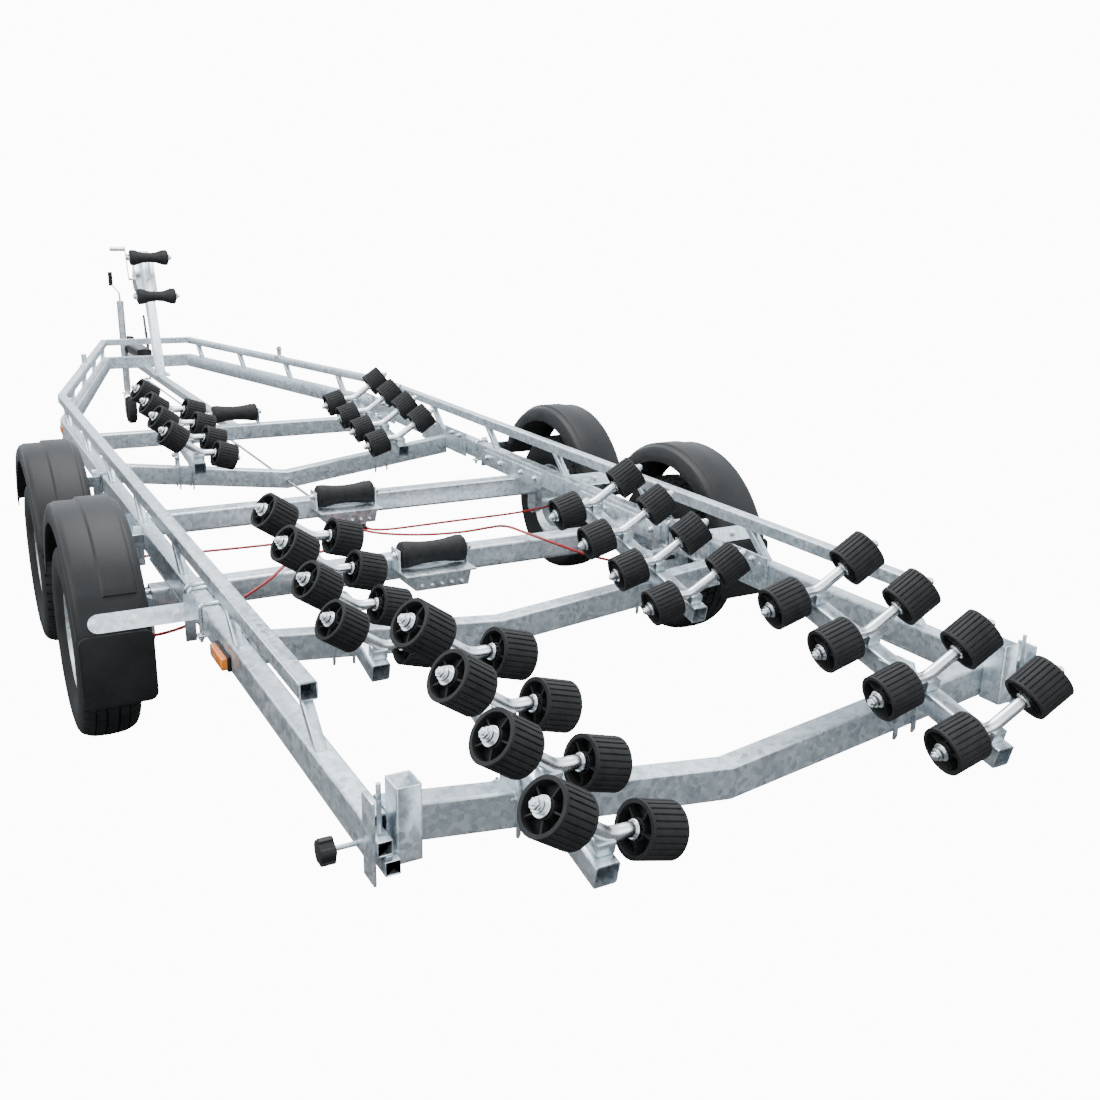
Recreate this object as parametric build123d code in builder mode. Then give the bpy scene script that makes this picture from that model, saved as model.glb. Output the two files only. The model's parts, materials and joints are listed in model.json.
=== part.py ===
"""Twin-axle boat trailer with six swinging roller beams, keel rollers, winch post and jockey wheel.

Units are millimetres. X points forward to the coupling, Y to the left, Z up. The origin is on the
floor, on the centre line, at the middle of the overall length. Places along the trailer are first
given as stations, counted forward from the rear end of the top rails, and x_at turns them into X.
"""
import os
from math import atan2, cos, degrees, pi, radians, sin, tan

from build123d import *

os.makedirs("parts", exist_ok=True)

# Side frames
straight_length = 4000.0        # top rails, rear end to the bend
nose_length = 2400.0            # from the bend to the front beam's front face
frame_width = 1700.0            # over the straight rails
nose_width = 600.0              # over the front corners
rail_top_height = 645.0         # top of the top rails above the floor
top_rail_size = 40.0
top_rail_wall = 3.0
low_rail_width = 50.0
low_rail_depth = 80.0
low_rail_wall = 4.0
truss_gap = 80.0                # between the top rail and the lower rail
rear_extension = 360.0          # lower rails behind the top rails' end
strut_pitch = 640.0
nose_strut_pitch = 600.0
strut_width = 34.0
strut_thickness = 25.0
strut_slant = 90.0              # foot of a strut behind its head
nose_strut_slant = 50.0
first_strut = -15.0             # middle of the first strut, its head under the rail's end
first_nose_strut = 400.0        # ahead of the bend

# Cross members and keel beam
cross_width = 60.0
cross_depth = 80.0
cross_wall = 4.0
front_cross_back = 50.0         # front cross member's middle behind the bend
rear_v_station = -312.0
rear_v_rise = 81.0              # top of a V member's ends above the lower rail's bottom
mid_v_rise = 23.0
front_v_rise = 44.0
rear_v_drop = 105.0             # centre of a V member below its ends
mid_v_drop = 75.0
front_v_drop = 104.0
post_length_x = 60.0
post_width = 50.0
post_height = 150.0
post_drop = 5.0                 # foot of a post under the lower rail
keel_beam_size = 50.0
keel_beam_wall = 4.0
drawbar_reach = 520.0           # keel beam ahead of the front beam

# Axles and wheels
rear_axle_station = 1405.0
axle_spacing = 885.0
track = 2136.0
tyre_radius = 300.0
tyre_width = 175.0
tyre_wall = 12.0
rim_radius = 165.0              # bead seat
rim_width = 130.0
rim_lip = 11.0
rim_wall = 5.0
rim_disc_offset = 25.0
rim_disc_thickness = 8.0
rim_hole_radius = 13.0
rim_hole_count = 8
hub_radius = 52.0
hub_cap_length = 62.0
drum_radius = 104.0
drum_length = 50.0
stub_radius = 20.0
stub_fit = 0.5
backplate_radius = 114.0
backplate_thickness = 6.0
backplate_gap = 5.0
axle_size = 80.0
axle_wall = 5.0
axle_length = 1800.0
arm_thickness = 32.0
arm_width = 74.0
mount_plate = 8.0

# Mudguards
guard_radius = 427.0
guard_width = 195.0
guard_shift = 28.0              # each guard's centre away from the other, past its wheel
guard_inset = 4.0               # guard's middle inboard of the tyre's middle
guard_skirt = 62.0
guard_thickness = 4.0
guard_shoulder = 22.0
guard_band_width = 95.0
guard_band_shift = 26.0         # raised band inboard of the guard's middle
guard_band_rise = 7.0
guard_angle = 140.0
guard_band_angle = 110.0
flap_width = 196.0
flap_height = 208.0
flap_thickness = 6.0
flap_corner = 25.0
flap_lap = 10.0                 # flap above the guard's lip
strap_width = 52.0
strap_thickness = 5.0
strap_angle = 25.4              # above the wheel's middle, where a strap lies on its guard
strap_bracket_width = 30.0
strap_bracket_depth = 137.0
strap_bracket_drop = 48.0       # its foot below the lower rail
strap_end_inset = 30.0

# Hull roller beams
beam_size = 50.0
beam_wall = 3.0
beam_length = 672.0
roller_pitch = 197.0
roller_radius = 55.0
roller_length = 86.0
roller_ribs = 16
rib_depth = 4.0
roller_rim = 11.0               # wall of the roller round its hollow ends
roller_recess = 28.0
roller_hub_radius = 22.0
arm_radius = 14.0
arm_rise_angle = 36.0           # outer arm above the level middle
arm_fall_angle = 18.0           # inner arm below it
arm_bend_radius = 60.0
arm_height = 53.0               # level middle's axis above the beam's axis
arm_bend_inset = 18.0           # outer bend, inboard of the beam's middle
arm_inner_bend = 60.0           # inner bend, inboard of the beam's middle
inner_arm_reach = 112.0         # beam's middle to the inner roller's middle
outer_arm_reach = 96.0
arm_end_overrun = 10.0
saddle_length = 40.0
roller_fit = 0.2
pivot_radius = 10.0
pivot_fit = 0.4
pivot_plate = 6.0
pivot_gap = 0.5
rear_beam_gap = 23.5            # beam's underside above its V member
mid_beam_gap = 43.0
front_beam_gap = 85.0
rear_beam_y = 500.0
mid_beam_y = 500.0
front_beam_y = 455.0
cheek_width = 56.0
cheek_leg = 12.0                # cheek's legs astride the cross member
cheek_foot = 18.0               # legs below the cross member

# Keel and bow rollers
keel_roller_radius = 45.0
keel_roller_waist = 36.0
keel_roller_length = 230.0
bow_roller_radius = 50.0
bow_roller_waist = 30.0
bow_roller_length = 240.0
keel_pin_radius = 10.0
keel_pin_fit = 0.5
roller_side_gap = 5.0
roller_plate = 6.0
roller_box_reach = 140.0        # box bracket behind an axle beam

# Winch post
post_foot_back = 450.0          # middle of the post's foot behind the front beam's face
post_lean = 21.0                # top leans forward
post_side = 60.0
post_top_height = 1235.0
post_wall = 4.0
base_plate = 8.0
bow_upper_height = 1210.0
bow_lower_height = 970.0
bow_upper_ahead = 110.0         # upper bow roller ahead of the post's foot
bow_lower_back = 60.0           # lower bow roller behind the post's foot

# Coupling and jockey wheel
housing_length = 420.0
housing_width = 100.0
housing_height = 110.0
housing_corner = 14.0
draw_tube_radius = 25.0
bellows_radius = 38.0
bellows_folds = 6
head_length = 210.0
head_width = 78.0
head_height = 84.0
ball_radius = 25.2
ball_depth = 40.0
nose_gap = 150.0                # draw tube showing between housing and head
jockey_back = 140.0             # jockey tube behind the end of the keel beam
jockey_tube_radius = 24.0
jockey_tube_bottom = 230.0
jockey_tube_top = 875.0
jockey_stem_radius = 20.0
jockey_wheel_radius = 100.0
jockey_wheel_width = 60.0
jockey_trail = 95.0

# Brake linkage and cables
cable_radius = 5.0
cable_height = 341.0
rod_radius = 6.0
rod_clearance = 2.0
abutment_station = 2120.0
equaliser_gap = 45.0            # abutment plate to the equaliser bar
equaliser_length = 120.0
linkage_plate = 6.0
crank_back = 365.0              # brake crank behind the end of the keel beam

overrun = 1.0                   # cutting tools reach past the faces they cut

# Worked out sizes
top_bottom = rail_top_height - top_rail_size
low_top = top_bottom - truss_gap
low_bottom = low_top - low_rail_depth
half_frame = frame_width / 2
half_nose = nose_width / 2
front_station = straight_length + nose_length
nose_end_station = front_station + drawbar_reach
front_cross_station = straight_length - front_cross_back
post_foot_station = front_station - post_foot_back
bow_upper_station = post_foot_station + bow_upper_ahead
bow_lower_station = post_foot_station - bow_lower_back
jockey_station = nose_end_station - jockey_back
crank_station = nose_end_station - crank_back
rear_beam_tilt = 13.0
mid_beam_tilt = 14.0
front_beam_tilt = 9.0
rear_pivot_station = -300.0
mid_pivot_station = 800.0
front_pivot_station = 3030.0
outer_rise = (outer_arm_reach + arm_bend_inset) * tan(radians(arm_rise_angle))
outer_height = arm_height + outer_rise
inner_fall = (inner_arm_reach - arm_inner_bend) * tan(radians(arm_fall_angle))


def star_points(radius, depth, ribs):
    """Corners of a ribbed outline, with crests and grooves in turn."""
    points = []
    for number in range(2 * ribs):
        turn = pi * number / ribs
        reach = radius if number % 2 == 0 else radius - depth
        points.append((reach * cos(turn), reach * sin(turn)))
    return points


rear_sin = sin(radians(rear_beam_tilt))
rear_cos = cos(radians(rear_beam_tilt))
rise_sin = sin(radians(arm_rise_angle))
rise_cos = cos(radians(arm_rise_angle))
roller_reach = max(-(rear_cos * px + rise_cos * rear_sin * py)
                   for px, py in star_points(roller_radius, rib_depth, roller_ribs))
roller_reach += roller_length / 2 * rear_sin * rise_sin
rear_reach = (-rear_pivot_station + 1.5 * roller_pitch * rear_cos + outer_height * rear_sin
              + roller_reach)
coupling_nose = nose_end_station + nose_gap + head_length
overall_length = coupling_nose + rear_reach
rail_end_x = rear_reach - overall_length / 2
keel_top = low_bottom
keel_middle = keel_top - keel_beam_size / 2


def x_at(station):
    """X of a station counted forward from the rear end of the top rails."""
    return station + rail_end_x


def save(part, name):
    """Label a finished piece and write it as its own file."""
    part.label = name
    export_step(part, f"parts/{name}.step")


def block(size, low):
    """A box given by its size and its lowest corner."""
    with Locations(low):
        Box(*size, align=(Align.MIN, Align.MIN, Align.MIN))


def tube_along_x(start, end, middle_y, bottom, width, depth, wall):
    """A box tube with rounded corners, along X between two X places."""
    section = Plane(origin=(start, middle_y, bottom + depth / 2), x_dir=(0, 1, 0), z_dir=(1, 0, 0))
    with BuildPart() as tube:
        with BuildSketch(section):
            RectangleRounded(width, depth, wall * 2)
            RectangleRounded(width - 2 * wall, depth - 2 * wall, wall, mode=Mode.SUBTRACT)
        extrude(amount=end - start)
    return tube.part


# Straight rails, left and right in one node each
with BuildPart() as lower_rails:
    for side in (1, -1):
        middle = side * (half_frame - low_rail_width / 2)
        add(tube_along_x(x_at(-rear_extension), x_at(straight_length), middle, low_bottom,
                         low_rail_width, low_rail_depth, low_rail_wall))
save(lower_rails.part, "lower_rails")

with BuildPart() as top_rails:
    for side in (1, -1):
        middle = side * (half_frame - top_rail_size / 2)
        add(tube_along_x(x_at(0), x_at(straight_length), middle, top_bottom,
                         top_rail_size, top_rail_size, top_rail_wall))
save(top_rails.part, "top_rails")


def nose_frame(width, wall, bottom, depth):
    """The two converging rails and the front beam, welded into one U of box tube."""
    slope = (half_frame - half_nose) / nose_length

    def outline(inset, back):
        """U in plan, inset by a wall, its legs starting behind the bend by back."""
        start = x_at(straight_length) - back
        outer_start = half_frame - inset + slope * back
        inner_start = half_frame - width + inset + slope * back
        front_outer = x_at(front_station) - inset
        front_inner = x_at(front_station) - width + inset
        outer_front = outer_start - slope * (front_outer - start)
        inner_front = inner_start - slope * (front_inner - start)
        right = [(start, -inner_start), (front_inner, -inner_front), (front_inner, inner_front),
                 (start, inner_start), (start, outer_start), (front_outer, outer_front),
                 (front_outer, -outer_front), (start, -outer_start)]
        return right

    with BuildPart() as frame:
        with BuildSketch(Plane.XY.offset(bottom)):
            with BuildLine():
                Polyline(*outline(0, 0), close=True)
            make_face()
        extrude(amount=depth)
        with BuildSketch(Plane.XY.offset(bottom + wall)):
            with BuildLine():
                Polyline(*outline(wall, overrun), close=True)
            make_face()
        extrude(amount=depth - 2 * wall, mode=Mode.SUBTRACT)
    return frame.part


save(nose_frame(low_rail_width, low_rail_wall, low_bottom, low_rail_depth), "nose_lower_frame")
save(nose_frame(top_rail_size, top_rail_wall, top_bottom, top_rail_size), "nose_top_frame")

# Slanted struts between the rails, the first at the rear end of the top rails
with BuildPart() as struts:
    straight_count = int((straight_length - first_strut) / strut_pitch) + 1
    nose_count = int((nose_length - first_nose_strut) / nose_strut_pitch) + 1
    nose_turn = degrees(atan2(half_frame - half_nose, nose_length))
    for side in (1, -1):
        places = []
        for number in range(straight_count):
            places.append((first_strut + number * strut_pitch, half_frame - top_rail_size / 2, 0,
                           strut_slant))
        for number in range(nose_count):
            ahead = first_nose_strut + number * nose_strut_pitch
            inward = (half_frame - half_nose) * ahead / nose_length
            places.append((straight_length + ahead, half_frame - top_rail_size / 2 - inward,
                           -side * nose_turn, nose_strut_slant))
        for station, middle_y, turn, slant in places:
            along = Vector(cos(radians(turn)), sin(radians(turn)), 0)
            across = Vector(-sin(radians(turn)), cos(radians(turn)), 0)
            foot = Vector(x_at(station), side * middle_y, low_top)
            half_width = strut_width / 2
            with BuildSketch(Plane(origin=foot, x_dir=along, z_dir=-across)):
                with BuildLine():
                    Polyline((-slant / 2 - half_width, 0), (half_width - slant / 2, 0),
                             (half_width + slant / 2, truss_gap),
                             (slant / 2 - half_width, truss_gap), close=True)
                make_face()
            extrude(amount=strut_thickness / 2, both=True)
save(struts.part, "struts")

# Keel beam on the centre line, under the front beam and on to the coupling
keel_rear = x_at(front_cross_station) + cross_width / 2
keel_beam = tube_along_x(keel_rear, x_at(nose_end_station), 0, keel_top - keel_beam_size,
                         keel_beam_size, keel_beam_size, keel_beam_wall)
save(keel_beam, "keel_beam")

# Straight cross member under the rails at the bend
front_cross_plane = Plane(origin=(x_at(front_cross_station), -half_frame, low_bottom - cross_depth / 2),
                          x_dir=(1, 0, 0), z_dir=(0, 1, 0))
with BuildPart() as front_cross:
    with BuildSketch(front_cross_plane):
        RectangleRounded(cross_width, cross_depth, cross_wall * 2)
        RectangleRounded(cross_width - 2 * cross_wall, cross_depth - 2 * cross_wall, cross_wall,
                         mode=Mode.SUBTRACT)
    extrude(amount=frame_width)

# V shaped cross members between the lower rails
# columns: station, height of the ends' top, centre below the ends
v_table = {
    "rear": (rear_v_station, low_bottom + rear_v_rise, rear_v_drop),
    "mid": (mid_pivot_station, low_bottom + mid_v_rise, mid_v_drop),
    "front": (front_pivot_station, low_bottom + front_v_rise, front_v_drop),
}
v_half_span = half_frame - low_rail_width


def v_top_at(name, y):
    """Height of a V member's upper edge at a distance from the centre line."""
    station, end_top, drop = v_table[name]
    return end_top - drop * (1 - abs(y) / v_half_span)


def v_member(name, inset, reach):
    """The V member's outer solid, or its hollow if an inset and an end overrun are given."""
    station, end_top, drop = v_table[name]
    rear_face = x_at(station) - cross_width / 2 + inset
    ends_top = v_top_at(name, v_half_span + reach)
    lower = cross_depth - inset
    with BuildPart() as member:
        with BuildSketch(Plane(origin=(rear_face, 0, 0), x_dir=(0, 1, 0), z_dir=(1, 0, 0))):
            with BuildLine():
                Polyline((-v_half_span - reach, ends_top - inset), (0, end_top - drop - inset),
                         (v_half_span + reach, ends_top - inset),
                         (v_half_span + reach, ends_top - lower), (0, end_top - drop - lower),
                         (-v_half_span - reach, ends_top - lower), close=True)
            make_face()
        extrude(amount=cross_width - 2 * inset)
        if inset == 0:
            long_edges = [edge for edge in member.edges() if edge.length > v_half_span * 0.9]
            fillet(long_edges, cross_wall * 1.5)
    return member.part


v_solids = {name: v_member(name, 0, 0) for name in v_table}
v_hollows = {name: v_member(name, cross_wall, overrun) for name in v_table}
with BuildPart() as cross_members:
    add(front_cross.part)
    for name in ("mid", "front"):
        add(v_solids[name])
        add(v_hollows[name], mode=Mode.SUBTRACT)
    rod_hole = Plane(origin=(x_at(front_pivot_station), 0, cable_height), x_dir=(0, 1, 0),
                     z_dir=(1, 0, 0))
    with BuildSketch(rod_hole):
        Circle(rod_radius + rod_clearance)
    extrude(amount=cross_width, both=True, mode=Mode.SUBTRACT)
save(cross_members.part, "cross_members")

# Rear V member, with an upright post behind each end, inboard of the lower rails
post_x = x_at(rear_v_station) - cross_width / 2 - post_length_x
post_bottom = low_bottom - post_drop
with BuildPart() as rear_cross:
    add(v_solids["rear"])
    add(v_hollows["rear"], mode=Mode.SUBTRACT)
    for side in (1, -1):
        middle_y = side * (v_half_span - post_width / 2)
        with BuildSketch(Plane(origin=(post_x + post_length_x / 2, middle_y, post_bottom))):
            RectangleRounded(post_length_x, post_width, cross_wall)
        extrude(amount=post_height)
save(rear_cross.part, "rear_cross_member")

# Axles
axle_top = low_bottom - mount_plate
axle_middle = axle_top - axle_size / 2
half_track = track / 2
arm_inner = axle_length / 2
backplate_y = half_track - backplate_gap - drum_length - backplate_thickness
stub_end = half_track


def axle(station, name):
    """Square axle beam with a drop arm, brake backplate and stub at each end."""
    x = x_at(station)
    with BuildPart() as beam:
        with BuildSketch(Plane(origin=(x, -arm_inner, axle_middle), x_dir=(1, 0, 0), z_dir=(0, 1, 0))):
            RectangleRounded(axle_size, axle_size, axle_wall * 2)
            RectangleRounded(axle_size - 2 * axle_wall, axle_size - 2 * axle_wall, axle_wall,
                             mode=Mode.SUBTRACT)
        extrude(amount=axle_length)
        for side in (1, -1):
            plane = Plane(origin=(x, side * arm_inner, 0), x_dir=(1, 0, 0), z_dir=(0, side, 0))
            flip = -side
            with BuildSketch(plane):
                with Locations((0, flip * axle_middle), (0, flip * tyre_radius)):
                    Circle(arm_width / 2)
                with Locations((0, flip * (axle_middle + tyre_radius) / 2)):
                    Rectangle(arm_width, axle_middle - tyre_radius)
            extrude(amount=arm_thickness)
            hub_plane = Plane(origin=(x, side * arm_inner, tyre_radius), x_dir=(1, 0, 0),
                              z_dir=(0, side, 0))
            with BuildSketch(hub_plane):
                Circle(stub_radius)
            extrude(amount=stub_end - arm_inner)
            plate_plane = Plane(origin=(x, side * backplate_y, tyre_radius), x_dir=(1, 0, 0),
                                z_dir=(0, side, 0))
            with BuildSketch(plate_plane):
                Circle(backplate_radius)
            extrude(amount=backplate_thickness)
    save(beam.part, name)


front_axle_station = rear_axle_station + axle_spacing
axle(front_axle_station, "front_axle")
axle(rear_axle_station, "rear_axle")

# Mounting plates between the axle beams and the lower rails
mount_length = 560.0
mount_flange = 70.0
with BuildPart() as axle_mounts:
    for station in (rear_axle_station, front_axle_station):
        for side in (1, -1):
            inner = side * (half_frame - low_rail_width)
            low_y = min(inner, side * half_frame)
            block((mount_length, low_rail_width, mount_plate),
                  (x_at(station) - mount_length / 2, low_y, axle_top))
            flange_y = inner if side < 0 else inner - mount_plate
            block((mount_length, mount_plate, mount_flange),
                  (x_at(station) - mount_length / 2, flange_y, axle_top))
save(axle_mounts.part, "axle_mounts")

# Wheels
crown_share = 0.30              # of the tyre's width, each side of its middle
tread_share = 0.43
crown_drop = 3.0
shoulder_drop = 16.0
bead_half = rim_width / 2 - rim_lip / 4
side_radius = (tyre_radius + rim_radius) / 2
half_tyre = tyre_width / 2
half_rim = rim_width / 2
tyre_half = [(bead_half, rim_radius), (half_rim, rim_radius + rim_lip), (half_tyre, side_radius),
             (tyre_width * tread_share, tyre_radius - shoulder_drop),
             (tyre_width * crown_share, tyre_radius - crown_drop)]
tyre_outline = [(-across, up) for across, up in tyre_half] + [(0, tyre_radius)] + tyre_half[::-1]
tyre_inside = [(bead_half - tyre_wall, rim_radius), (half_tyre - tyre_wall, side_radius),
               (tyre_width * crown_share, tyre_radius - tyre_wall - crown_drop),
               (-tyre_width * crown_share, tyre_radius - tyre_wall - crown_drop),
               (tyre_wall - half_tyre, side_radius), (tyre_wall - bead_half, rim_radius)]
wheel_names = {(1, 1): "front_left", (1, -1): "front_right",
               (0, 1): "rear_left", (0, -1): "rear_right"}
drum_inner = -(backplate_gap + drum_length)
drum_face = -backplate_gap
disc_inner = rim_radius - rim_wall
disc_front = rim_disc_offset + rim_disc_thickness
cap_radius = hub_radius / 2
rim_outline = [(-half_rim, rim_radius + rim_lip), (-half_rim, disc_inner),
               (rim_disc_offset, disc_inner), (rim_disc_offset, hub_radius), (0, hub_radius),
               (drum_face, drum_radius), (drum_inner, drum_radius),
               (drum_inner, stub_radius + stub_fit), (overrun, stub_radius + stub_fit),
               (overrun, 0), (hub_cap_length, 0), (hub_cap_length, cap_radius),
               (disc_front, cap_radius), (disc_front, disc_inner), (half_rim, disc_inner),
               (half_rim, rim_radius + rim_lip), (bead_half, rim_radius), (-bead_half, rim_radius)]
for (row, side), place in wheel_names.items():
    centre = Vector(x_at(rear_axle_station + row * axle_spacing), side * half_track, tyre_radius)
    section = Plane(origin=centre, x_dir=(0, side, 0), z_dir=(side, 0, 0))
    wheel_axis = Axis(centre, (0, 1, 0))
    with BuildPart() as tyre:
        with BuildSketch(section):
            with BuildLine():
                Polyline(*tyre_outline, *tyre_inside, close=True)
            make_face()
        revolve(axis=wheel_axis)
    save(tyre.part, f"tyre_{place}")
    with BuildPart() as rim:
        with BuildSketch(section):
            with BuildLine():
                Polyline(*rim_outline, close=True)
            make_face()
        revolve(axis=wheel_axis)
        disc_plane = Plane(origin=centre + Vector(0, side * rim_disc_offset, 0), x_dir=(1, 0, 0),
                           z_dir=(0, side, 0))
        with BuildSketch(disc_plane):
            with PolarLocations((drum_radius + disc_inner) / 2, rim_hole_count):
                Circle(rim_hole_radius)
        extrude(amount=rim_disc_thickness, mode=Mode.SUBTRACT)
    save(rim.part, f"wheel_{place}")

# Mudguards, two on each side in one node, each with a raised band on its crown
guard_end_angle = (180 - guard_angle) / 2
band_end_angle = (180 - guard_band_angle) / 2
half_guard = guard_width / 2
guard_middle = half_track - guard_inset


def guard_centres(side):
    """Centres of the two guards of a side: each sits a little past its wheel."""
    stations = (rear_axle_station - guard_shift, rear_axle_station + axle_spacing + guard_shift)
    return [Vector(x_at(station), side * guard_middle, tyre_radius) for station in stations]


def arch(centre, end_angle, points):
    """A strip that arches over a wheel: its section turned about the wheel's axis."""
    start = Vector(-cos(radians(end_angle)), 0, sin(radians(end_angle)))
    plane = Plane(origin=centre, x_dir=(0, 1, 0), z_dir=Vector(0, 1, 0).cross(start))
    with BuildPart() as strip:
        with BuildSketch(plane):
            with BuildLine():
                Polyline(*points, close=True)
            make_face()
        revolve(axis=Axis(centre, (0, 1, 0)), revolution_arc=180 - 2 * end_angle)
    return strip.part


for side, place in ((1, "left"), (-1, "right")):
    skin = guard_thickness
    outer = [(-half_guard, guard_radius - guard_skirt), (-half_guard, guard_radius - guard_shoulder),
             (-half_guard + guard_shoulder / 3, guard_radius - guard_shoulder / 3),
             (-half_guard + guard_shoulder, guard_radius)]
    inner = [(half_guard - skin, guard_radius - guard_skirt),
             (half_guard - skin, guard_radius - guard_shoulder - skin / 2),
             (half_guard - guard_shoulder / 3 - skin * 0.7, guard_radius - guard_shoulder / 3 - skin * 0.7),
             (half_guard - guard_shoulder - skin / 2, guard_radius - skin)]
    shell = outer + [(-across, up) for across, up in outer[::-1]]
    shell += inner + [(-across, up) for across, up in inner[::-1]]
    band_middle = -side * guard_band_shift
    band = guard_band_width / 2
    band_foot = guard_radius - skin / 2
    band_top = guard_radius + guard_band_rise
    raised = [(band_middle - band, band_foot), (band_middle - band + guard_band_rise, band_top),
              (band_middle + band - guard_band_rise, band_top), (band_middle + band, band_foot)]
    with BuildPart() as guards:
        for centre in guard_centres(side):
            add(arch(centre, guard_end_angle, shell))
            add(arch(centre, band_end_angle, raised))
    save(guards.part, f"mudguards_{place}")

# Straps that carry the ends of the mudguards, each on a bracket outside the lower rail
with BuildPart() as straps:
    for side in (1, -1):
        span = guard_middle + half_guard - strap_end_inset - half_frame
        for centre in guard_centres(side):
            for end in (-1, 1):
                normal = Vector(end * cos(radians(strap_angle)), 0, sin(radians(strap_angle)))
                seat = centre + normal * guard_radius
                seat = Vector(seat.X, side * (half_frame + span / 2), seat.Z)
                with BuildSketch(Plane(origin=seat, x_dir=(0, 1, 0), z_dir=normal)):
                    Rectangle(span, strap_width)
                extrude(amount=strap_thickness)
                low_y = half_frame if side > 0 else -half_frame - strap_bracket_width
                bracket_x = seat.X if end > 0 else seat.X - strap_thickness
                block((strap_thickness, strap_bracket_width, strap_bracket_depth),
                      (bracket_x, low_y, low_bottom - strap_bracket_drop))
save(straps.part, "mudguard_straps")

# Mudflaps behind the rear guards
with BuildPart() as flaps:
    for side in (1, -1):
        centre = guard_centres(side)[0]
        face_x = centre.X - guard_radius * cos(radians(guard_end_angle)) - roller_fit
        top = tyre_radius + guard_radius * sin(radians(guard_end_angle)) + flap_lap
        with BuildSketch(Plane(origin=(face_x, centre.Y, top - flap_height / 2), x_dir=(0, 1, 0),
                               z_dir=(-1, 0, 0))):
            RectangleRounded(flap_width, flap_height, flap_corner)
        extrude(amount=flap_thickness)
save(flaps.part, "mudflaps")


# Six swinging beams with their arms, and the eight ribbed rollers of each
# columns: name, pivot station, gap above the V member, tilt, middle y
beam_table = [
    ("rear", rear_pivot_station, rear_beam_gap, rear_beam_tilt, rear_beam_y),
    ("mid", mid_pivot_station, mid_beam_gap, mid_beam_tilt, mid_beam_y),
    ("front", front_pivot_station, front_beam_gap, front_beam_tilt, front_beam_y),
]
half_roller = roller_length / 2


def hull_roller(centre, along, axis_dir):
    """A ribbed roller with hollow ends round a hub that turns on its arm."""
    near = centre - axis_dir * half_roller
    with BuildPart() as roller:
        with BuildSketch(Plane(origin=near, x_dir=along, z_dir=axis_dir)):
            with BuildLine():
                Polyline(*star_points(roller_radius, rib_depth, roller_ribs), close=True)
            make_face()
        extrude(amount=roller_length)
        for face, inward in ((near, axis_dir), (centre + axis_dir * half_roller, -axis_dir)):
            with BuildSketch(Plane(origin=face, x_dir=along, z_dir=inward)):
                Circle(roller_radius - roller_rim)
                Circle(roller_hub_radius, mode=Mode.SUBTRACT)
            extrude(amount=roller_recess, mode=Mode.SUBTRACT)
        with BuildSketch(Plane(origin=near, x_dir=along, z_dir=axis_dir)):
            Circle(arm_radius + roller_fit)
        extrude(amount=roller_length, mode=Mode.SUBTRACT)
    return roller.part


pivot_places = []
for name, station, gap, tilt, middle_y in beam_table:
    for side, place in ((1, "left"), (-1, "right")):
        pivot_z = v_top_at(name, middle_y) + gap + beam_size / 2
        origin = Vector(x_at(station), side * middle_y, pivot_z)
        along = Vector(cos(radians(tilt)), 0, sin(radians(tilt)))
        up = Vector(-sin(radians(tilt)), 0, cos(radians(tilt)))
        out = Vector(0, side, 0)
        pivot_places.append((f"{name}_{place}", origin, side, name))
        outer_dir = out * cos(radians(arm_rise_angle)) + up * sin(radians(arm_rise_angle))
        inner_dir = -out * cos(radians(arm_fall_angle)) - up * sin(radians(arm_fall_angle))
        outer_run = (outer_arm_reach + arm_bend_inset) / cos(radians(arm_rise_angle))
        inner_run = (inner_arm_reach - arm_inner_bend) / cos(radians(arm_fall_angle))
        past_roller = half_roller + arm_end_overrun
        with BuildPart() as beam:
            with BuildSketch(Plane(origin=origin - along * (beam_length / 2), x_dir=out,
                                   z_dir=along)):
                RectangleRounded(beam_size, beam_size, beam_wall * 2)
                RectangleRounded(beam_size - 2 * beam_wall, beam_size - 2 * beam_wall, beam_wall,
                                 mode=Mode.SUBTRACT)
            extrude(amount=beam_length)
            with BuildSketch(Plane(origin=origin, x_dir=along, z_dir=out)):
                Circle(pivot_radius + pivot_fit)
            extrude(amount=beam_size, both=True, mode=Mode.SUBTRACT)
            for number in range(4):
                seat = origin + along * ((number - 1.5) * roller_pitch)
                level = seat + up * arm_height
                inner_bend = level - out * arm_inner_bend
                outer_bend = level - out * arm_bend_inset
                inner_end = inner_bend + inner_dir * (inner_run + past_roller)
                with BuildLine() as arm_line:
                    FilletPolyline(inner_end, inner_bend, outer_bend,
                                   outer_bend + outer_dir * (outer_run + past_roller),
                                   radius=arm_bend_radius)
                with BuildSketch(Plane(origin=inner_end, x_dir=along, z_dir=-inner_dir)):
                    Circle(arm_radius)
                sweep(path=arm_line.line)
                saddle_back = beam_size / 2 - saddle_length / 2
                with BuildSketch(Plane(origin=seat + up * (beam_size / 2) - out * saddle_back,
                                       x_dir=along, z_dir=up)):
                    Rectangle(saddle_length, saddle_length)
                extrude(amount=arm_height - beam_size / 2)
        save(beam.part, f"swing_beam_{name}_{place}")
        with BuildPart() as rollers:
            for number in range(4):
                level = origin + along * ((number - 1.5) * roller_pitch) + up * arm_height
                inner_centre = level - out * inner_arm_reach - up * inner_fall
                outer_centre = level + out * outer_arm_reach + up * outer_rise
                add(hull_roller(inner_centre, along, inner_dir))
                add(hull_roller(outer_centre, along, outer_dir))
        save(rollers.part, f"hull_rollers_{name}_{place}")

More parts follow.
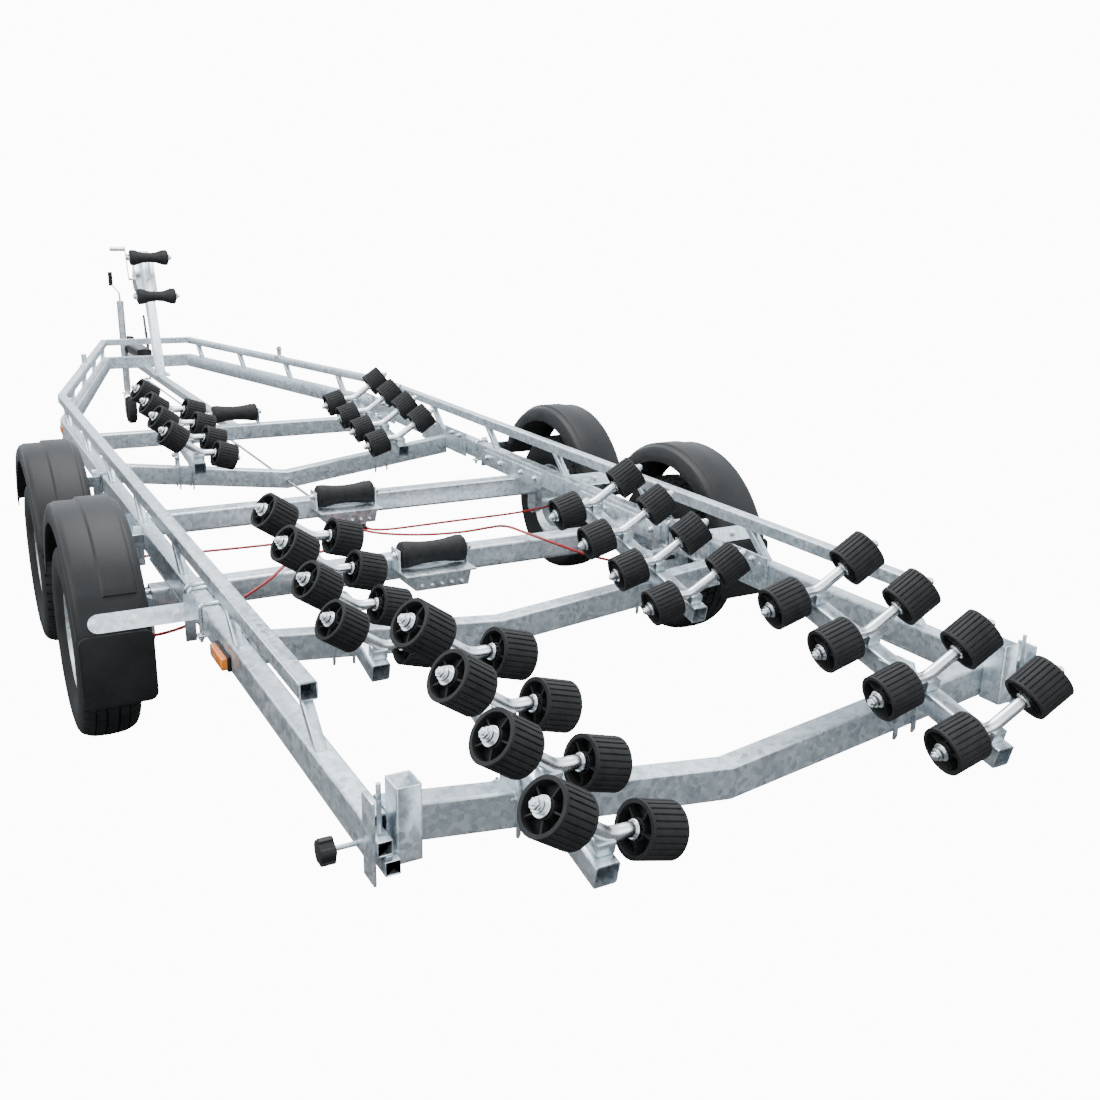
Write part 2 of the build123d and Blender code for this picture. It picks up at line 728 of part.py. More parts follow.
# Pivot brackets, two cheeks astride the V member and a pin for each beam
with BuildPart() as pivots:
    for name, origin, side, v_name in pivot_places:
        v_x = x_at(v_table[v_name][0])
        top = origin.Z + cheek_width / 2
        for cheek in (-1, 1):
            near = abs(origin.Y) + cheek * (beam_size / 2 + pivot_gap)
            foot = v_top_at(v_name, near) - cross_depth - cheek_foot
            wide = cross_width / 2 + cheek_leg
            shoulder = v_top_at(v_name, near) + cheek_leg
            plane = Plane(origin=(0, side * near, 0), x_dir=(1, 0, 0), z_dir=(0, -1, 0))
            with BuildSketch(plane):
                with BuildLine():
                    Polyline((v_x - wide, foot + cheek_leg), (v_x - wide + cheek_leg / 2, foot),
                             (v_x + wide - cheek_leg / 2, foot), (v_x + wide, foot + cheek_leg),
                             (v_x + wide, shoulder), (origin.X + cheek_width / 2, top),
                             (origin.X - cheek_width / 2, top), (v_x - wide, shoulder), close=True)
                make_face()
            extrude(amount=-cheek * side * pivot_plate)
        with BuildSketch(Plane(origin=origin, x_dir=(1, 0, 0), z_dir=(0, 1, 0))):
            Circle(pivot_radius)
        extrude(amount=beam_size / 2 + pivot_gap + pivot_plate, both=True)
    for name in v_table:
        station, end_top, drop = v_table[name]
        add(v_solids[name], mode=Mode.SUBTRACT)
        block_bottom = end_top - drop - cross_depth * 2
        with BuildSketch(Plane(origin=(x_at(station) - cross_width / 2, 0, 0), x_dir=(0, 1, 0),
                               z_dir=(1, 0, 0))):
            with BuildLine():
                Polyline((-v_half_span, end_top - cross_depth / 2), (0, end_top - drop - cross_depth / 2),
                         (v_half_span, end_top - cross_depth / 2), (v_half_span, block_bottom),
                         (-v_half_span, block_bottom), close=True)
            make_face()
        extrude(amount=cross_width, mode=Mode.SUBTRACT)
save(pivots.part, "swing_pivots")

# Keel rollers on the front cross member and on both axle beams, bow rollers on the winch post
roller_share = 0.38             # of a roller's length, from its middle to where its waist starts


def waisted_roller(centre, radius, waist, length, name):
    """A rubber roller with a waist, turning on a pin along Y."""
    section = Plane(origin=centre, x_dir=(0, 1, 0), z_dir=(1, 0, 0))
    bore = keel_pin_radius + keel_pin_fit
    shoulder = length * roller_share
    edge = roller_plate
    with BuildPart() as roller:
        with BuildSketch(section):
            with BuildLine():
                Polyline((-length / 2, bore), (-length / 2, radius - edge),
                         (-length / 2 + edge, radius), (-shoulder, radius),
                         (-shoulder / 2, waist + (radius - waist) / 4), (0, waist),
                         (shoulder / 2, waist + (radius - waist) / 4), (shoulder, radius),
                         (length / 2 - edge, radius), (length / 2, radius - edge),
                         (length / 2, bore), close=True)
            make_face()
        revolve(axis=Axis(centre, (0, 1, 0)))
    save(roller.part, name)


keel_front_x = x_at(front_cross_station)
keel_front_z = low_bottom + keel_roller_radius + roller_side_gap * 3
axle_roller_back = axle_size / 2 + keel_roller_radius + roller_side_gap
axle_roller_z = axle_top + keel_roller_radius / 2
# columns: name, X, height, height of the seat, carried behind an axle beam
keel_roller_table = [
    ("keel_roller_front", keel_front_x, keel_front_z, low_bottom, False),
    ("keel_roller_mid", x_at(front_axle_station) - axle_roller_back, axle_roller_z, axle_top, True),
    ("keel_roller_rear", x_at(rear_axle_station) - axle_roller_back, axle_roller_z, axle_top, True),
]
half_keel_roller = keel_roller_length / 2
box_half_width = half_keel_roller - keel_pin_radius
box_bottom = axle_top - axle_size
box_top = axle_roller_z - keel_roller_radius - roller_side_gap
with BuildPart() as keel_brackets:
    for name, x, z, seat, behind in keel_roller_table:
        plate_front = axle_roller_back - axle_size / 2 if behind else keel_roller_radius
        low = box_top if behind else seat
        for side in (1, -1):
            y = side * (half_keel_roller + roller_side_gap + roller_plate / 2)
            block((plate_front + keel_roller_radius / 2, roller_plate, z + keel_pin_radius * 2 - low),
                  (x - keel_roller_radius / 2, y - roller_plate / 2, low))
        with BuildSketch(Plane(origin=(x, 0, z), x_dir=(1, 0, 0), z_dir=(0, 1, 0))):
            Circle(keel_pin_radius)
        extrude(amount=half_keel_roller + roller_side_gap + roller_plate, both=True)
        if behind:
            beam_face = x + axle_roller_back - axle_size / 2
            tray_half = half_keel_roller + roller_side_gap + roller_plate
            block((roller_box_reach, tray_half * 2, roller_plate),
                  (beam_face - roller_box_reach, -tray_half, box_top - roller_plate))
            rear_plane = Plane(origin=(beam_face - roller_box_reach, 0, 0), x_dir=(0, 1, 0),
                               z_dir=(1, 0, 0))
            with BuildSketch(rear_plane):
                with BuildLine():
                    Polyline((-box_half_width, box_top - roller_plate),
                             (box_half_width, box_top - roller_plate),
                             (box_half_width - keel_pin_radius, box_bottom),
                             (keel_pin_radius - box_half_width, box_bottom), close=True)
                make_face()
            extrude(amount=roller_box_reach)
            inner_half = box_half_width - roller_plate - keel_pin_radius
            block_height = box_top - 2 * roller_plate - box_bottom
            with Locations((beam_face - roller_box_reach / 2, 0,
                            box_bottom + (block_height - overrun) / 2)):
                Box(roller_box_reach - 2 * roller_plate, 2 * inner_half, block_height + overrun,
                    mode=Mode.SUBTRACT)
save(keel_brackets.part, "keel_roller_brackets")
for name, x, z, seat, behind in keel_roller_table:
    waisted_roller(Vector(x, 0, z), keel_roller_radius, keel_roller_waist, keel_roller_length, name)

# Winch post, leaning forward from the keel beam, with an arm to each bow roller
lean_dir = Vector(sin(radians(post_lean)), 0, cos(radians(post_lean)))
front_dir = Vector(cos(radians(post_lean)), 0, -sin(radians(post_lean)))
post_foot = Vector(x_at(post_foot_station), 0, keel_top)
post_length = (post_top_height - keel_top) / cos(radians(post_lean))


def post_x_at(height):
    """X of the post's middle line at a height."""
    return post_foot.X + (height - keel_top) * tan(radians(post_lean))


bow_places = [("bow_roller_upper", x_at(bow_upper_station), bow_upper_height),
              ("bow_roller_lower", x_at(bow_lower_station), bow_lower_height)]
half_bow = bow_roller_length / 2
bow_arm_depth = keel_pin_radius * 5
with BuildPart() as winch_post:
    with BuildSketch(Plane(origin=post_foot - lean_dir * post_side, x_dir=(0, 1, 0),
                           z_dir=lean_dir)):
        RectangleRounded(post_side, post_side, post_wall * 2)
    extrude(amount=post_length + post_side)
    with BuildSketch(Plane(origin=post_foot - lean_dir * post_side, x_dir=(0, 1, 0),
                           z_dir=lean_dir)):
        RectangleRounded(post_side - 2 * post_wall, post_side - 2 * post_wall, post_wall)
    extrude(amount=post_length + post_side - post_wall, mode=Mode.SUBTRACT)
    with Locations((post_foot.X, 0, keel_top - post_side)):
        Box(post_side * 5, post_side * 2, post_side * 2, mode=Mode.SUBTRACT)
    with Locations((post_foot.X, 0, keel_top + base_plate / 2)):
        Box(post_side * 2.4, keel_beam_size * 2, base_plate)
    for name, x, z in bow_places:
        reach = post_x_at(z) - x
        bar_x = x + bow_roller_radius + roller_side_gap
        for side in (1, -1):
            y = side * (half_bow + roller_side_gap + roller_plate / 2)
            block((bar_x - x + keel_pin_radius * 2, roller_plate, keel_pin_radius * 4),
                  (x - keel_pin_radius * 2, y - roller_plate / 2, z - keel_pin_radius * 2))
        block((roller_plate, bow_roller_length + 2 * roller_side_gap + 2 * roller_plate,
               keel_pin_radius * 4),
              (bar_x, -half_bow - roller_side_gap - roller_plate, z - keel_pin_radius * 2))
        for side in (1, -1):
            low_y = post_side / 2 if side > 0 else -post_side / 2 - roller_plate
            block((x + reach + post_side / 2 - bar_x, roller_plate, bow_arm_depth),
                  (bar_x, low_y, z - bow_arm_depth / 2))
        with BuildSketch(Plane(origin=(x, 0, z), x_dir=(1, 0, 0), z_dir=(0, 1, 0))):
            Circle(keel_pin_radius)
        extrude(amount=half_bow + roller_side_gap + roller_plate, both=True)
save(winch_post.part, "winch_post")
for name, x, z in bow_places:
    waisted_roller(Vector(x, 0, z), bow_roller_radius, bow_roller_waist, bow_roller_length, name)

# Winch on the front of the post: two side plates, a drum with a gear, a shaft and a crank
winch_height = 1095.0
winch_width = 130.0
winch_depth = 150.0
winch_length = 200.0
winch_wall = 5.0
winch_drum_radius = 32.0
winch_gear_radius = 62.0
winch_shaft_radius = 9.0
crank_length = 210.0
crank_grip_radius = 15.0
crank_grip_length = 100.0
winch_seat = Vector(post_x_at(winch_height), 0, winch_height) + front_dir * (post_side / 2)
drum_centre = winch_seat + front_dir * (winch_depth / 2)
half_winch = winch_width / 2
with BuildPart() as winch:
    with BuildSketch(Plane(origin=winch_seat, x_dir=(0, 1, 0), z_dir=front_dir)):
        Rectangle(winch_width, winch_length)
    extrude(amount=winch_wall)
    for side in (1, -1):
        low_y = side * half_winch if side < 0 else half_winch - winch_wall
        with BuildSketch(Plane(origin=winch_seat + Vector(0, low_y, 0), x_dir=front_dir,
                               z_dir=(0, 1, 0))):
            with BuildLine():
                Polyline((0, -winch_length / 2), (winch_depth * 0.35, -winch_length / 2),
                         (winch_depth, -winch_length * 0.1), (winch_depth, winch_length * 0.22),
                         (winch_depth * 0.5, winch_length / 2), (0, winch_length / 2), close=True)
            make_face()
        extrude(amount=winch_wall)
    for radius, start, width in ((winch_drum_radius, -half_winch + winch_wall, winch_width - 2 * winch_wall),
                                 (winch_gear_radius, half_winch - 4 * winch_wall, 2 * winch_wall),
                                 (winch_gear_radius * 0.8, -half_winch + 2 * winch_wall, winch_wall),
                                 (winch_shaft_radius, -half_winch - winch_wall,
                                  winch_width + 8 * winch_wall)):
        with BuildSketch(Plane(origin=drum_centre + Vector(0, start, 0), x_dir=front_dir,
                               z_dir=(0, 1, 0))):
            Circle(radius)
        extrude(amount=width)
    crank_y = half_winch + 6 * winch_wall
    crank_start = drum_centre + Vector(0, crank_y, 0)
    with BuildSketch(Plane(origin=crank_start, x_dir=lean_dir, z_dir=(0, 1, 0))):
        with Locations((crank_length / 2, 0)):
            SlotCenterToCenter(crank_length, winch_shaft_radius * 2.4)
    extrude(amount=winch_wall)
    grip_start = crank_start + lean_dir * crank_length
    with BuildSketch(Plane(origin=grip_start, x_dir=lean_dir, z_dir=(0, 1, 0))):
        Circle(crank_grip_radius)
    extrude(amount=crank_grip_length)
save(winch.part, "winch")

# Overrun housing on the drawbar, bellows on its draw tube, and the coupling head
housing_front = x_at(nose_end_station)
tube_z = keel_top + housing_height / 2
with BuildPart() as housing:
    housing_rear = housing_front - housing_length
    with BuildSketch(Plane(origin=(housing_rear, 0, tube_z), x_dir=(0, 1, 0), z_dir=(1, 0, 0))):
        RectangleRounded(housing_width, housing_height, housing_corner)
    extrude(amount=housing_length)
    with BuildSketch(Plane(origin=(housing_front, 0, tube_z), x_dir=(0, 1, 0), z_dir=(1, 0, 0))):
        Circle(draw_tube_radius)
    extrude(amount=nose_gap)
    fold = nose_gap / bellows_folds
    folds = [(0, draw_tube_radius)]
    for number in range(bellows_folds):
        folds.append((number * fold + fold / 4, bellows_radius))
        folds.append((number * fold + fold * 3 / 4, bellows_radius - keel_pin_radius / 2))
    folds.append((nose_gap, draw_tube_radius))
    with BuildSketch(Plane(origin=(housing_front, 0, tube_z), x_dir=(1, 0, 0), z_dir=(0, -1, 0))):
        with BuildLine():
            Polyline(*folds, (nose_gap, 0), (0, 0), close=True)
        make_face()
    revolve(axis=Axis((housing_front, 0, tube_z), (1, 0, 0)))
save(housing.part, "overrun_housing")

head_back = housing_front + nose_gap
head_bottom = tube_z - head_height / 2
ball_x = head_back + head_length - head_width / 2
handle_length = 150.0
handle_rise = 46.0
handle_thickness = 9.0
with BuildPart() as head:
    with BuildSketch(Plane.XY.offset(head_bottom)):
        with Locations((head_back + (head_length - head_width / 2) / 2, 0)):
            Rectangle(head_length - head_width / 2, head_width)
        with Locations((ball_x, 0)):
            Circle(head_width / 2)
    extrude(amount=head_height)
    with BuildSketch(Plane(origin=(0, 0, 0), x_dir=(1, 0, 0), z_dir=(0, -1, 0))):
        with BuildLine():
            Polyline((head_back - overrun, tube_z + head_height / 2 + overrun),
                     (ball_x, tube_z + head_height / 2 + overrun),
                     (head_back + head_length + overrun, tube_z + head_height / 4),
                     (head_back + head_length + overrun, tube_z + head_height),
                     (head_back - overrun, tube_z + head_height), close=True)
        make_face()
    extrude(amount=head_width, both=True, mode=Mode.SUBTRACT)
    with Locations((ball_x, 0, head_bottom + ball_depth / 2 - overrun / 2)):
        Cylinder(ball_radius, ball_depth + overrun, mode=Mode.SUBTRACT)
    handle_root = head_back + head_width / 2
    with BuildSketch(Plane(origin=(0, 0, 0), x_dir=(1, 0, 0), z_dir=(0, -1, 0))):
        with BuildLine():
            Polyline((handle_root, tube_z + head_height / 2 - handle_thickness),
                     (handle_root + head_width / 2, tube_z + head_height / 2 - handle_thickness),
                     (handle_root + head_width / 3, tube_z + head_height / 2 + handle_rise),
                     (handle_root + head_width / 3 - handle_length, tube_z + head_height / 2 + handle_rise
                      + handle_thickness),
                     (handle_root + head_width / 3 - handle_length, tube_z + head_height / 2 + handle_rise
                      - handle_thickness),
                     (handle_root + head_width / 12, tube_z + head_height / 2 + handle_rise
                      - 2 * handle_thickness), close=True)
        make_face()
    extrude(amount=head_width / 5, both=True)
save(head.part, "coupling_head")

# Handbrake lever beside the housing
lever_length = 290.0
lever_size = 16.0
lever_lean = 20.0
with BuildPart() as lever:
    foot_x = housing_front - housing_length * 0.6
    lever_dir = Vector(sin(radians(lever_lean)), 0, cos(radians(lever_lean)))
    foot = Vector(foot_x, -housing_width / 2 - lever_size, tube_z)
    with BuildSketch(Plane(origin=foot, x_dir=lever_dir, z_dir=(0, 1, 0))):
        Circle(lever_size * 1.6)
        with BuildLine():
            Polyline((0, -lever_size), (lever_length * 0.55, -lever_size * 0.8),
                     (lever_length * 0.6, -lever_size * 0.45), (lever_length, -lever_size * 0.3),
                     (lever_length, lever_size * 0.3), (lever_length * 0.6, lever_size * 0.45),
                     (lever_length * 0.55, lever_size * 0.8), (0, lever_size), close=True)
        make_face()
    extrude(amount=lever_size)
save(lever.part, "handbrake_lever")

# Jockey wheel: clamp on the drawbar, mast that slides in it, stem, fork and wheel
jockey_x = x_at(jockey_station)
clamp_reach = 40.0
clamp_wall = 6.0
mast_fit = 0.5
clamp_stem_radius = 6.0
jockey_y = keel_beam_size / 2 + clamp_reach + clamp_wall + jockey_tube_radius
with BuildPart() as clamp:
    ring = jockey_tube_radius + mast_fit + clamp_wall
    block((ring * 2, jockey_y - keel_beam_size / 2, keel_beam_size),
          (jockey_x - ring, keel_beam_size / 2, keel_top - keel_beam_size))
    with Locations((jockey_x, jockey_y, keel_middle)):
        Cylinder(ring, keel_beam_size)
    with BuildSketch(Plane(origin=(jockey_x, jockey_y, keel_middle), x_dir=(1, 0, 0),
                           z_dir=(0, 1, 0))):
        Circle(clamp_stem_radius)
    extrude(amount=ring + clamp_reach)
    with BuildSketch(Plane(origin=(jockey_x, jockey_y + ring + clamp_reach, keel_middle),
                           x_dir=(1, 0, 0), z_dir=(0, 1, 0))):
        SlotCenterToCenter(clamp_reach * 2, clamp_stem_radius * 2)
    extrude(amount=clamp_stem_radius * 2)
    with Locations((jockey_x, jockey_y, keel_middle)):
        Cylinder(jockey_tube_radius + mast_fit, keel_beam_size + 2 * overrun, mode=Mode.SUBTRACT)
save(clamp.part, "jockey_clamp")

mast_cap = 10.0
stem_fit = 0.2
mast_crank_rise = 60.0
mast_crank_reach = 130.0
mast_crank_radius = 7.0
mast_grip_radius = 14.0
mast_grip_length = 95.0
with BuildPart() as mast:
    with Locations((jockey_x, jockey_y, (jockey_tube_bottom + jockey_tube_top) / 2)):
        Cylinder(jockey_tube_radius, jockey_tube_top - jockey_tube_bottom)
    with Locations((jockey_x, jockey_y, (jockey_tube_bottom + jockey_tube_top) / 2 - mast_cap)):
        Cylinder(jockey_stem_radius + stem_fit, jockey_tube_top - jockey_tube_bottom,
                 mode=Mode.SUBTRACT)
    crank_foot = Vector(jockey_x, jockey_y, jockey_tube_top - mast_cap / 2)
    crank_turn = crank_foot + Vector(0, 0, mast_crank_rise)
    crank_end = crank_turn + Vector(mast_crank_reach * 0.35, mast_crank_reach * 0.35,
                                    mast_crank_reach * 0.5)
    with BuildLine() as crank_line:
        FilletPolyline(crank_foot, crank_turn, crank_end, radius=mast_crank_radius * 3)
    with BuildSketch(Plane(origin=crank_foot, x_dir=(1, 0, 0), z_dir=(0, 0, 1))):
        Circle(mast_crank_radius)
    sweep(path=crank_line.line)
    with Locations(crank_end + Vector(0, 0, mast_grip_length / 2 - mast_grip_radius)):
        Cylinder(mast_grip_radius, mast_grip_length)
save(mast.part, "jockey_mast")

fork_headroom = 14.0            # top of the fork above the wheel
fork_top = 2 * jockey_wheel_radius + fork_headroom
fork_plate = 5.0
stem_length = 420.0
swivel_gap = 0.5
swivel_pin = 8.0
with BuildPart() as stem:
    with Locations((jockey_x, jockey_y, fork_top + stem_length / 2)):
        Cylinder(jockey_stem_radius, stem_length)
    with Locations((jockey_x, jockey_y, fork_top - (fork_plate + swivel_gap) / 2)):
        Cylinder(swivel_pin, fork_plate + swivel_gap)
save(stem.part, "jockey_stem")

fork_half = jockey_wheel_width / 2 + roller_side_gap
with BuildPart() as fork:
    crown_length = jockey_trail + jockey_stem_radius * 2
    block((crown_length, 2 * fork_half + 2 * fork_plate, fork_plate),
          (jockey_x - jockey_trail - jockey_stem_radius, jockey_y - fork_half - fork_plate,
           fork_top - swivel_gap - fork_plate))
    with Locations((jockey_x, jockey_y, fork_top)):
        Cylinder(swivel_pin + mast_fit, fork_plate * 4, mode=Mode.SUBTRACT)
    for side in (1, -1):
        y = jockey_y + side * (fork_half + fork_plate / 2)
        low = jockey_wheel_radius - jockey_stem_radius
        block((jockey_stem_radius * 2, fork_plate, fork_top - swivel_gap - low),
              (jockey_x - jockey_trail - jockey_stem_radius, y - fork_plate / 2, low))
    with BuildSketch(Plane(origin=(jockey_x - jockey_trail, jockey_y, jockey_wheel_radius),
                           x_dir=(1, 0, 0), z_dir=(0, 1, 0))):
        Circle(keel_pin_radius)
    extrude(amount=fork_half + fork_plate, both=True)
save(fork.part, "jockey_fork")

jockey_shoulder_share = 0.85    # of the wheel's radius, where its tread starts
jockey_tread_share = 0.6        # of its half width
with BuildPart() as jockey_wheel:
    centre = Vector(jockey_x - jockey_trail, jockey_y, jockey_wheel_radius)
    with BuildSketch(Plane(origin=centre, x_dir=(0, 1, 0), z_dir=(1, 0, 0))):
        with BuildLine():
            bore = keel_pin_radius + keel_pin_fit
            half = jockey_wheel_width / 2
            shoulder = jockey_wheel_radius * jockey_shoulder_share
            tread = half * jockey_tread_share
            Polyline((-half, bore), (-half, shoulder), (-tread, jockey_wheel_radius),
                     (tread, jockey_wheel_radius), (half, shoulder), (half, bore), close=True)
        make_face()
    revolve(axis=Axis(centre, (0, 1, 0)))
save(jockey_wheel.part, "jockey_wheel")

# Side marker lamps on the outer faces of the lower rails
lamp_length = 125.0
lamp_height = 32.0
lamp_depth = 24.0
lamp_station = 652.0
lamp_rise = 10.0                # above the lower rail's bottom
with BuildPart() as lamps:
    for side in (1, -1):
        low_y = half_frame if side > 0 else -half_frame - lamp_depth
        block((lamp_length, lamp_depth, lamp_height),
              (x_at(lamp_station) - lamp_length / 2, low_y, low_bottom + lamp_rise))
save(lamps.part, "side_lamps")

# Lamp board holders behind the lower rails: an upright plate, two square sockets and a pin
holder_plate = 6.0
holder_length = 54.0
holder_height = 165.0
holder_drop = 30.0              # its foot below the lower rail
socket_size = 30.0
socket_wall = 3.0
socket_length = 60.0
socket_seat = 0.3
upper_socket_rise = 30.0        # above the lower rail's bottom
lower_socket_rise = -12.0
pin_radius = 5.0
pin_length = 100.0
knob_stem_radius = 5.0
knob_stem_length = 45.0
knob_radius = 19.0
knob_length = 22.0
knob_back = 30.0                # ahead of the lower rail's end
with BuildPart() as holders:
    for side in (1, -1):
        rail_end = x_at(-rear_extension) - socket_seat
        low_y = half_frame - holder_plate if side > 0 else -half_frame
        block((holder_length, holder_plate, holder_height),
              (rail_end - holder_length, low_y, low_bottom - holder_drop))
        upper_y = side * (half_frame - holder_plate - socket_seat - socket_size / 2)
        lower_y = side * (v_half_span + socket_seat + socket_size / 2)
        for middle_y, rise in ((upper_y, upper_socket_rise), (lower_y, lower_socket_rise)):
            with BuildSketch(Plane(origin=(rail_end - socket_length, middle_y,
                                           low_bottom + rise + socket_size / 2),
                                   x_dir=(0, 1, 0), z_dir=(1, 0, 0))):
                Rectangle(socket_size, socket_size)
                Rectangle(socket_size - 2 * socket_wall, socket_size - 2 * socket_wall,
                          mode=Mode.SUBTRACT)
            extrude(amount=socket_length)
        pin_foot = low_bottom + upper_socket_rise + socket_size + socket_seat
        with Locations((rail_end - socket_length / 2, upper_y, pin_foot + pin_length / 2)):
            Cylinder(pin_radius, pin_length)
        link_y = min(upper_y, lower_y)
        link_low = lower_socket_rise + socket_size + socket_seat
        block((socket_length, abs(upper_y - lower_y), upper_socket_rise - socket_seat - link_low),
              (rail_end - socket_length, link_y, low_bottom + link_low))
        knob_plane = Plane(origin=(x_at(knob_back - rear_extension), side * half_frame,
                                   low_bottom + socket_size / 2), x_dir=(1, 0, 0), z_dir=(0, side, 0))
        with BuildSketch(knob_plane):
            Circle(knob_stem_radius)
        extrude(amount=knob_stem_length)
        with BuildSketch(knob_plane.offset(knob_stem_length)):
            Circle(knob_radius)
        extrude(amount=knob_length)
save(holders.part, "lamp_board_holders")

# Brake linkage: abutment plate under the front axle's roller bracket, equaliser, rod and crank
abutment_x = x_at(abutment_station)
outer_cable_y = 45.0
inner_cable_y = 15.0
plate_drop = 38.0
wire_radius = 2.5
bar_depth = 10.0
bar_height = 26.0
bar_x = abutment_x + linkage_plate + equaliser_gap
crank_x = x_at(crank_station)
crank_width = 34.0
with BuildPart() as linkage:
    block((linkage_plate, equaliser_length, plate_drop),
          (abutment_x, -equaliser_length / 2, box_bottom - plate_drop))
    for y in (-outer_cable_y, -inner_cable_y, inner_cable_y, outer_cable_y):
        with BuildSketch(Plane(origin=(abutment_x + linkage_plate, y, cable_height),
                               x_dir=(0, 1, 0), z_dir=(1, 0, 0))):
            Circle(wire_radius)
        extrude(amount=equaliser_gap)
    block((bar_depth, equaliser_length, bar_height),
          (bar_x, -equaliser_length / 2, cable_height - bar_height / 2))
    with BuildSketch(Plane(origin=(bar_x + bar_depth, 0, cable_height), x_dir=(0, 1, 0),
                           z_dir=(1, 0, 0))):
        Circle(rod_radius)
    extrude(amount=crank_x - bar_x - bar_depth)
    crank_y = keel_beam_size / 2 + linkage_plate
    block((linkage_plate * 2, crank_y + rod_radius, rod_radius * 2),
          (crank_x - linkage_plate, -crank_y, cable_height - rod_radius))
    block((crank_width, linkage_plate, keel_top - cable_height + rod_radius * 2),
          (crank_x - crank_width / 2, -crank_y - linkage_plate, cable_height - rod_radius * 2))
save(linkage.part, "brake_linkage")

# Brake cables, from the abutment plate to the backplate of each wheel
# columns: station, Y, height
cable_routes = {
    "front_left": [(2120, 45, 341), (2074, 45, 341), (2036, 79, 341), (2024, 150, 340),
                   (2022, 285, 338), (2032, 425, 336), (2046, 565, 335), (2066, 695, 333),
                   (2108, 808, 327), (2163, 890, 316), (2215, 938, 305), (2215, 1007, 305)],
    "front_right": [(2120, -45, 341), (2074, -45, 341), (2036, -79, 341), (2026, -150, 341),
                    (2036, -285, 340), (2044, -425, 339), (2052, -565, 337), (2070, -695, 333),
                    (2110, -808, 326), (2163, -890, 315), (2215, -938, 305), (2215, -1007, 305)],
    "rear_left": [(2120, 15, 341), (2070, 15, 341), (1982, 52, 341), (1890, 132, 343),
                  (1805, 222, 352), (1715, 312, 378), (1605, 382, 421), (1500, 428, 456),
                  (1364, 487, 459), (1288, 575, 434), (1264, 685, 388), (1270, 795, 346),
                  (1300, 888, 314), (1330, 945, 305), (1330, 1007, 305)],
    "rear_right": [(2120, -15, 341), (2070, -15, 341), (1990, -62, 341), (1915, -160, 342),
                   (1855, -265, 348), (1762, -345, 374), (1648, -380, 415), (1520, -382, 455),
                   (1382, -392, 460), (1290, -450, 442), (1248, -548, 400), (1244, -665, 358),
                   (1258, -782, 326), (1292, -882, 308), (1330, -942, 305), (1330, -1007, 305)],
}
run_share = 0.45                # of the shorter run beside a corner
for name, route in cable_routes.items():
    points = [Vector(x_at(station), y, z) for station, y, z in route]
    runs = [after - before for before, after in zip(points, points[1:])]
    radii = []
    for before, after in zip(runs, runs[1:]):
        half_turn = radians(before.get_angle(after)) / 2
        radii.append(run_share * min(before.length, after.length) / tan(half_turn))
    with BuildPart() as cable:
        with BuildLine() as cable_line:
            FilletPolyline(*points, radius=radii)
        with BuildSketch(Plane(origin=points[0], x_dir=(0, 1, 0), z_dir=runs[0])):
            Circle(cable_radius)
        sweep(path=cable_line.line)
    save(cable.part, f"brake_cable_{name}")
    length = sum(edge.length for edge in cable_line.edges())
    share = cable.part.volume / (pi * cable_radius ** 2 * length)
    print("CABLE", name, "length", round(length), "volume share", round(share, 4),
          "runs", [round(run.length) for run in runs], "radii", [round(radius) for radius in radii])

# Places of the turning and sliding pieces, for the record of joints
places = [(f"swing_beam_{name}", origin.X, origin.Y, origin.Z)
          for name, origin, side, v_name in pivot_places]
places += [(name, x, 0.0, z) for name, x, z, seat, behind in keel_roller_table]
places += [(name, x, 0.0, z) for name, x, z in bow_places]
for (row, side), place in wheel_names.items():
    places.append((f"wheel_{place}", x_at(rear_axle_station + row * axle_spacing),
                   side * half_track, tyre_radius))
places.append(("jockey_mast", jockey_x, jockey_y, keel_middle))
places.append(("jockey_wheel", jockey_x - jockey_trail, jockey_y, jockey_wheel_radius))
places.append(("ball_socket", ball_x, 0.0, head_bottom))
for place in places:
    print("PLACE", *place)
print("overall length", overall_length, "rail end x", rail_end_x)
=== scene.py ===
# %% [markdown]
# A twin-axle boat trailer, dressed piece by piece.
# The sizes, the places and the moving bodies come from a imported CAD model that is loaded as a
# fixed frame. This script gives every node of it a finish, and adds the parts that are too fine
# for the CAD model, such as the tread of the tyres, the ribs of the rollers and the bolts.

from math import atan2, cos, hypot, pi, radians, sin, tan

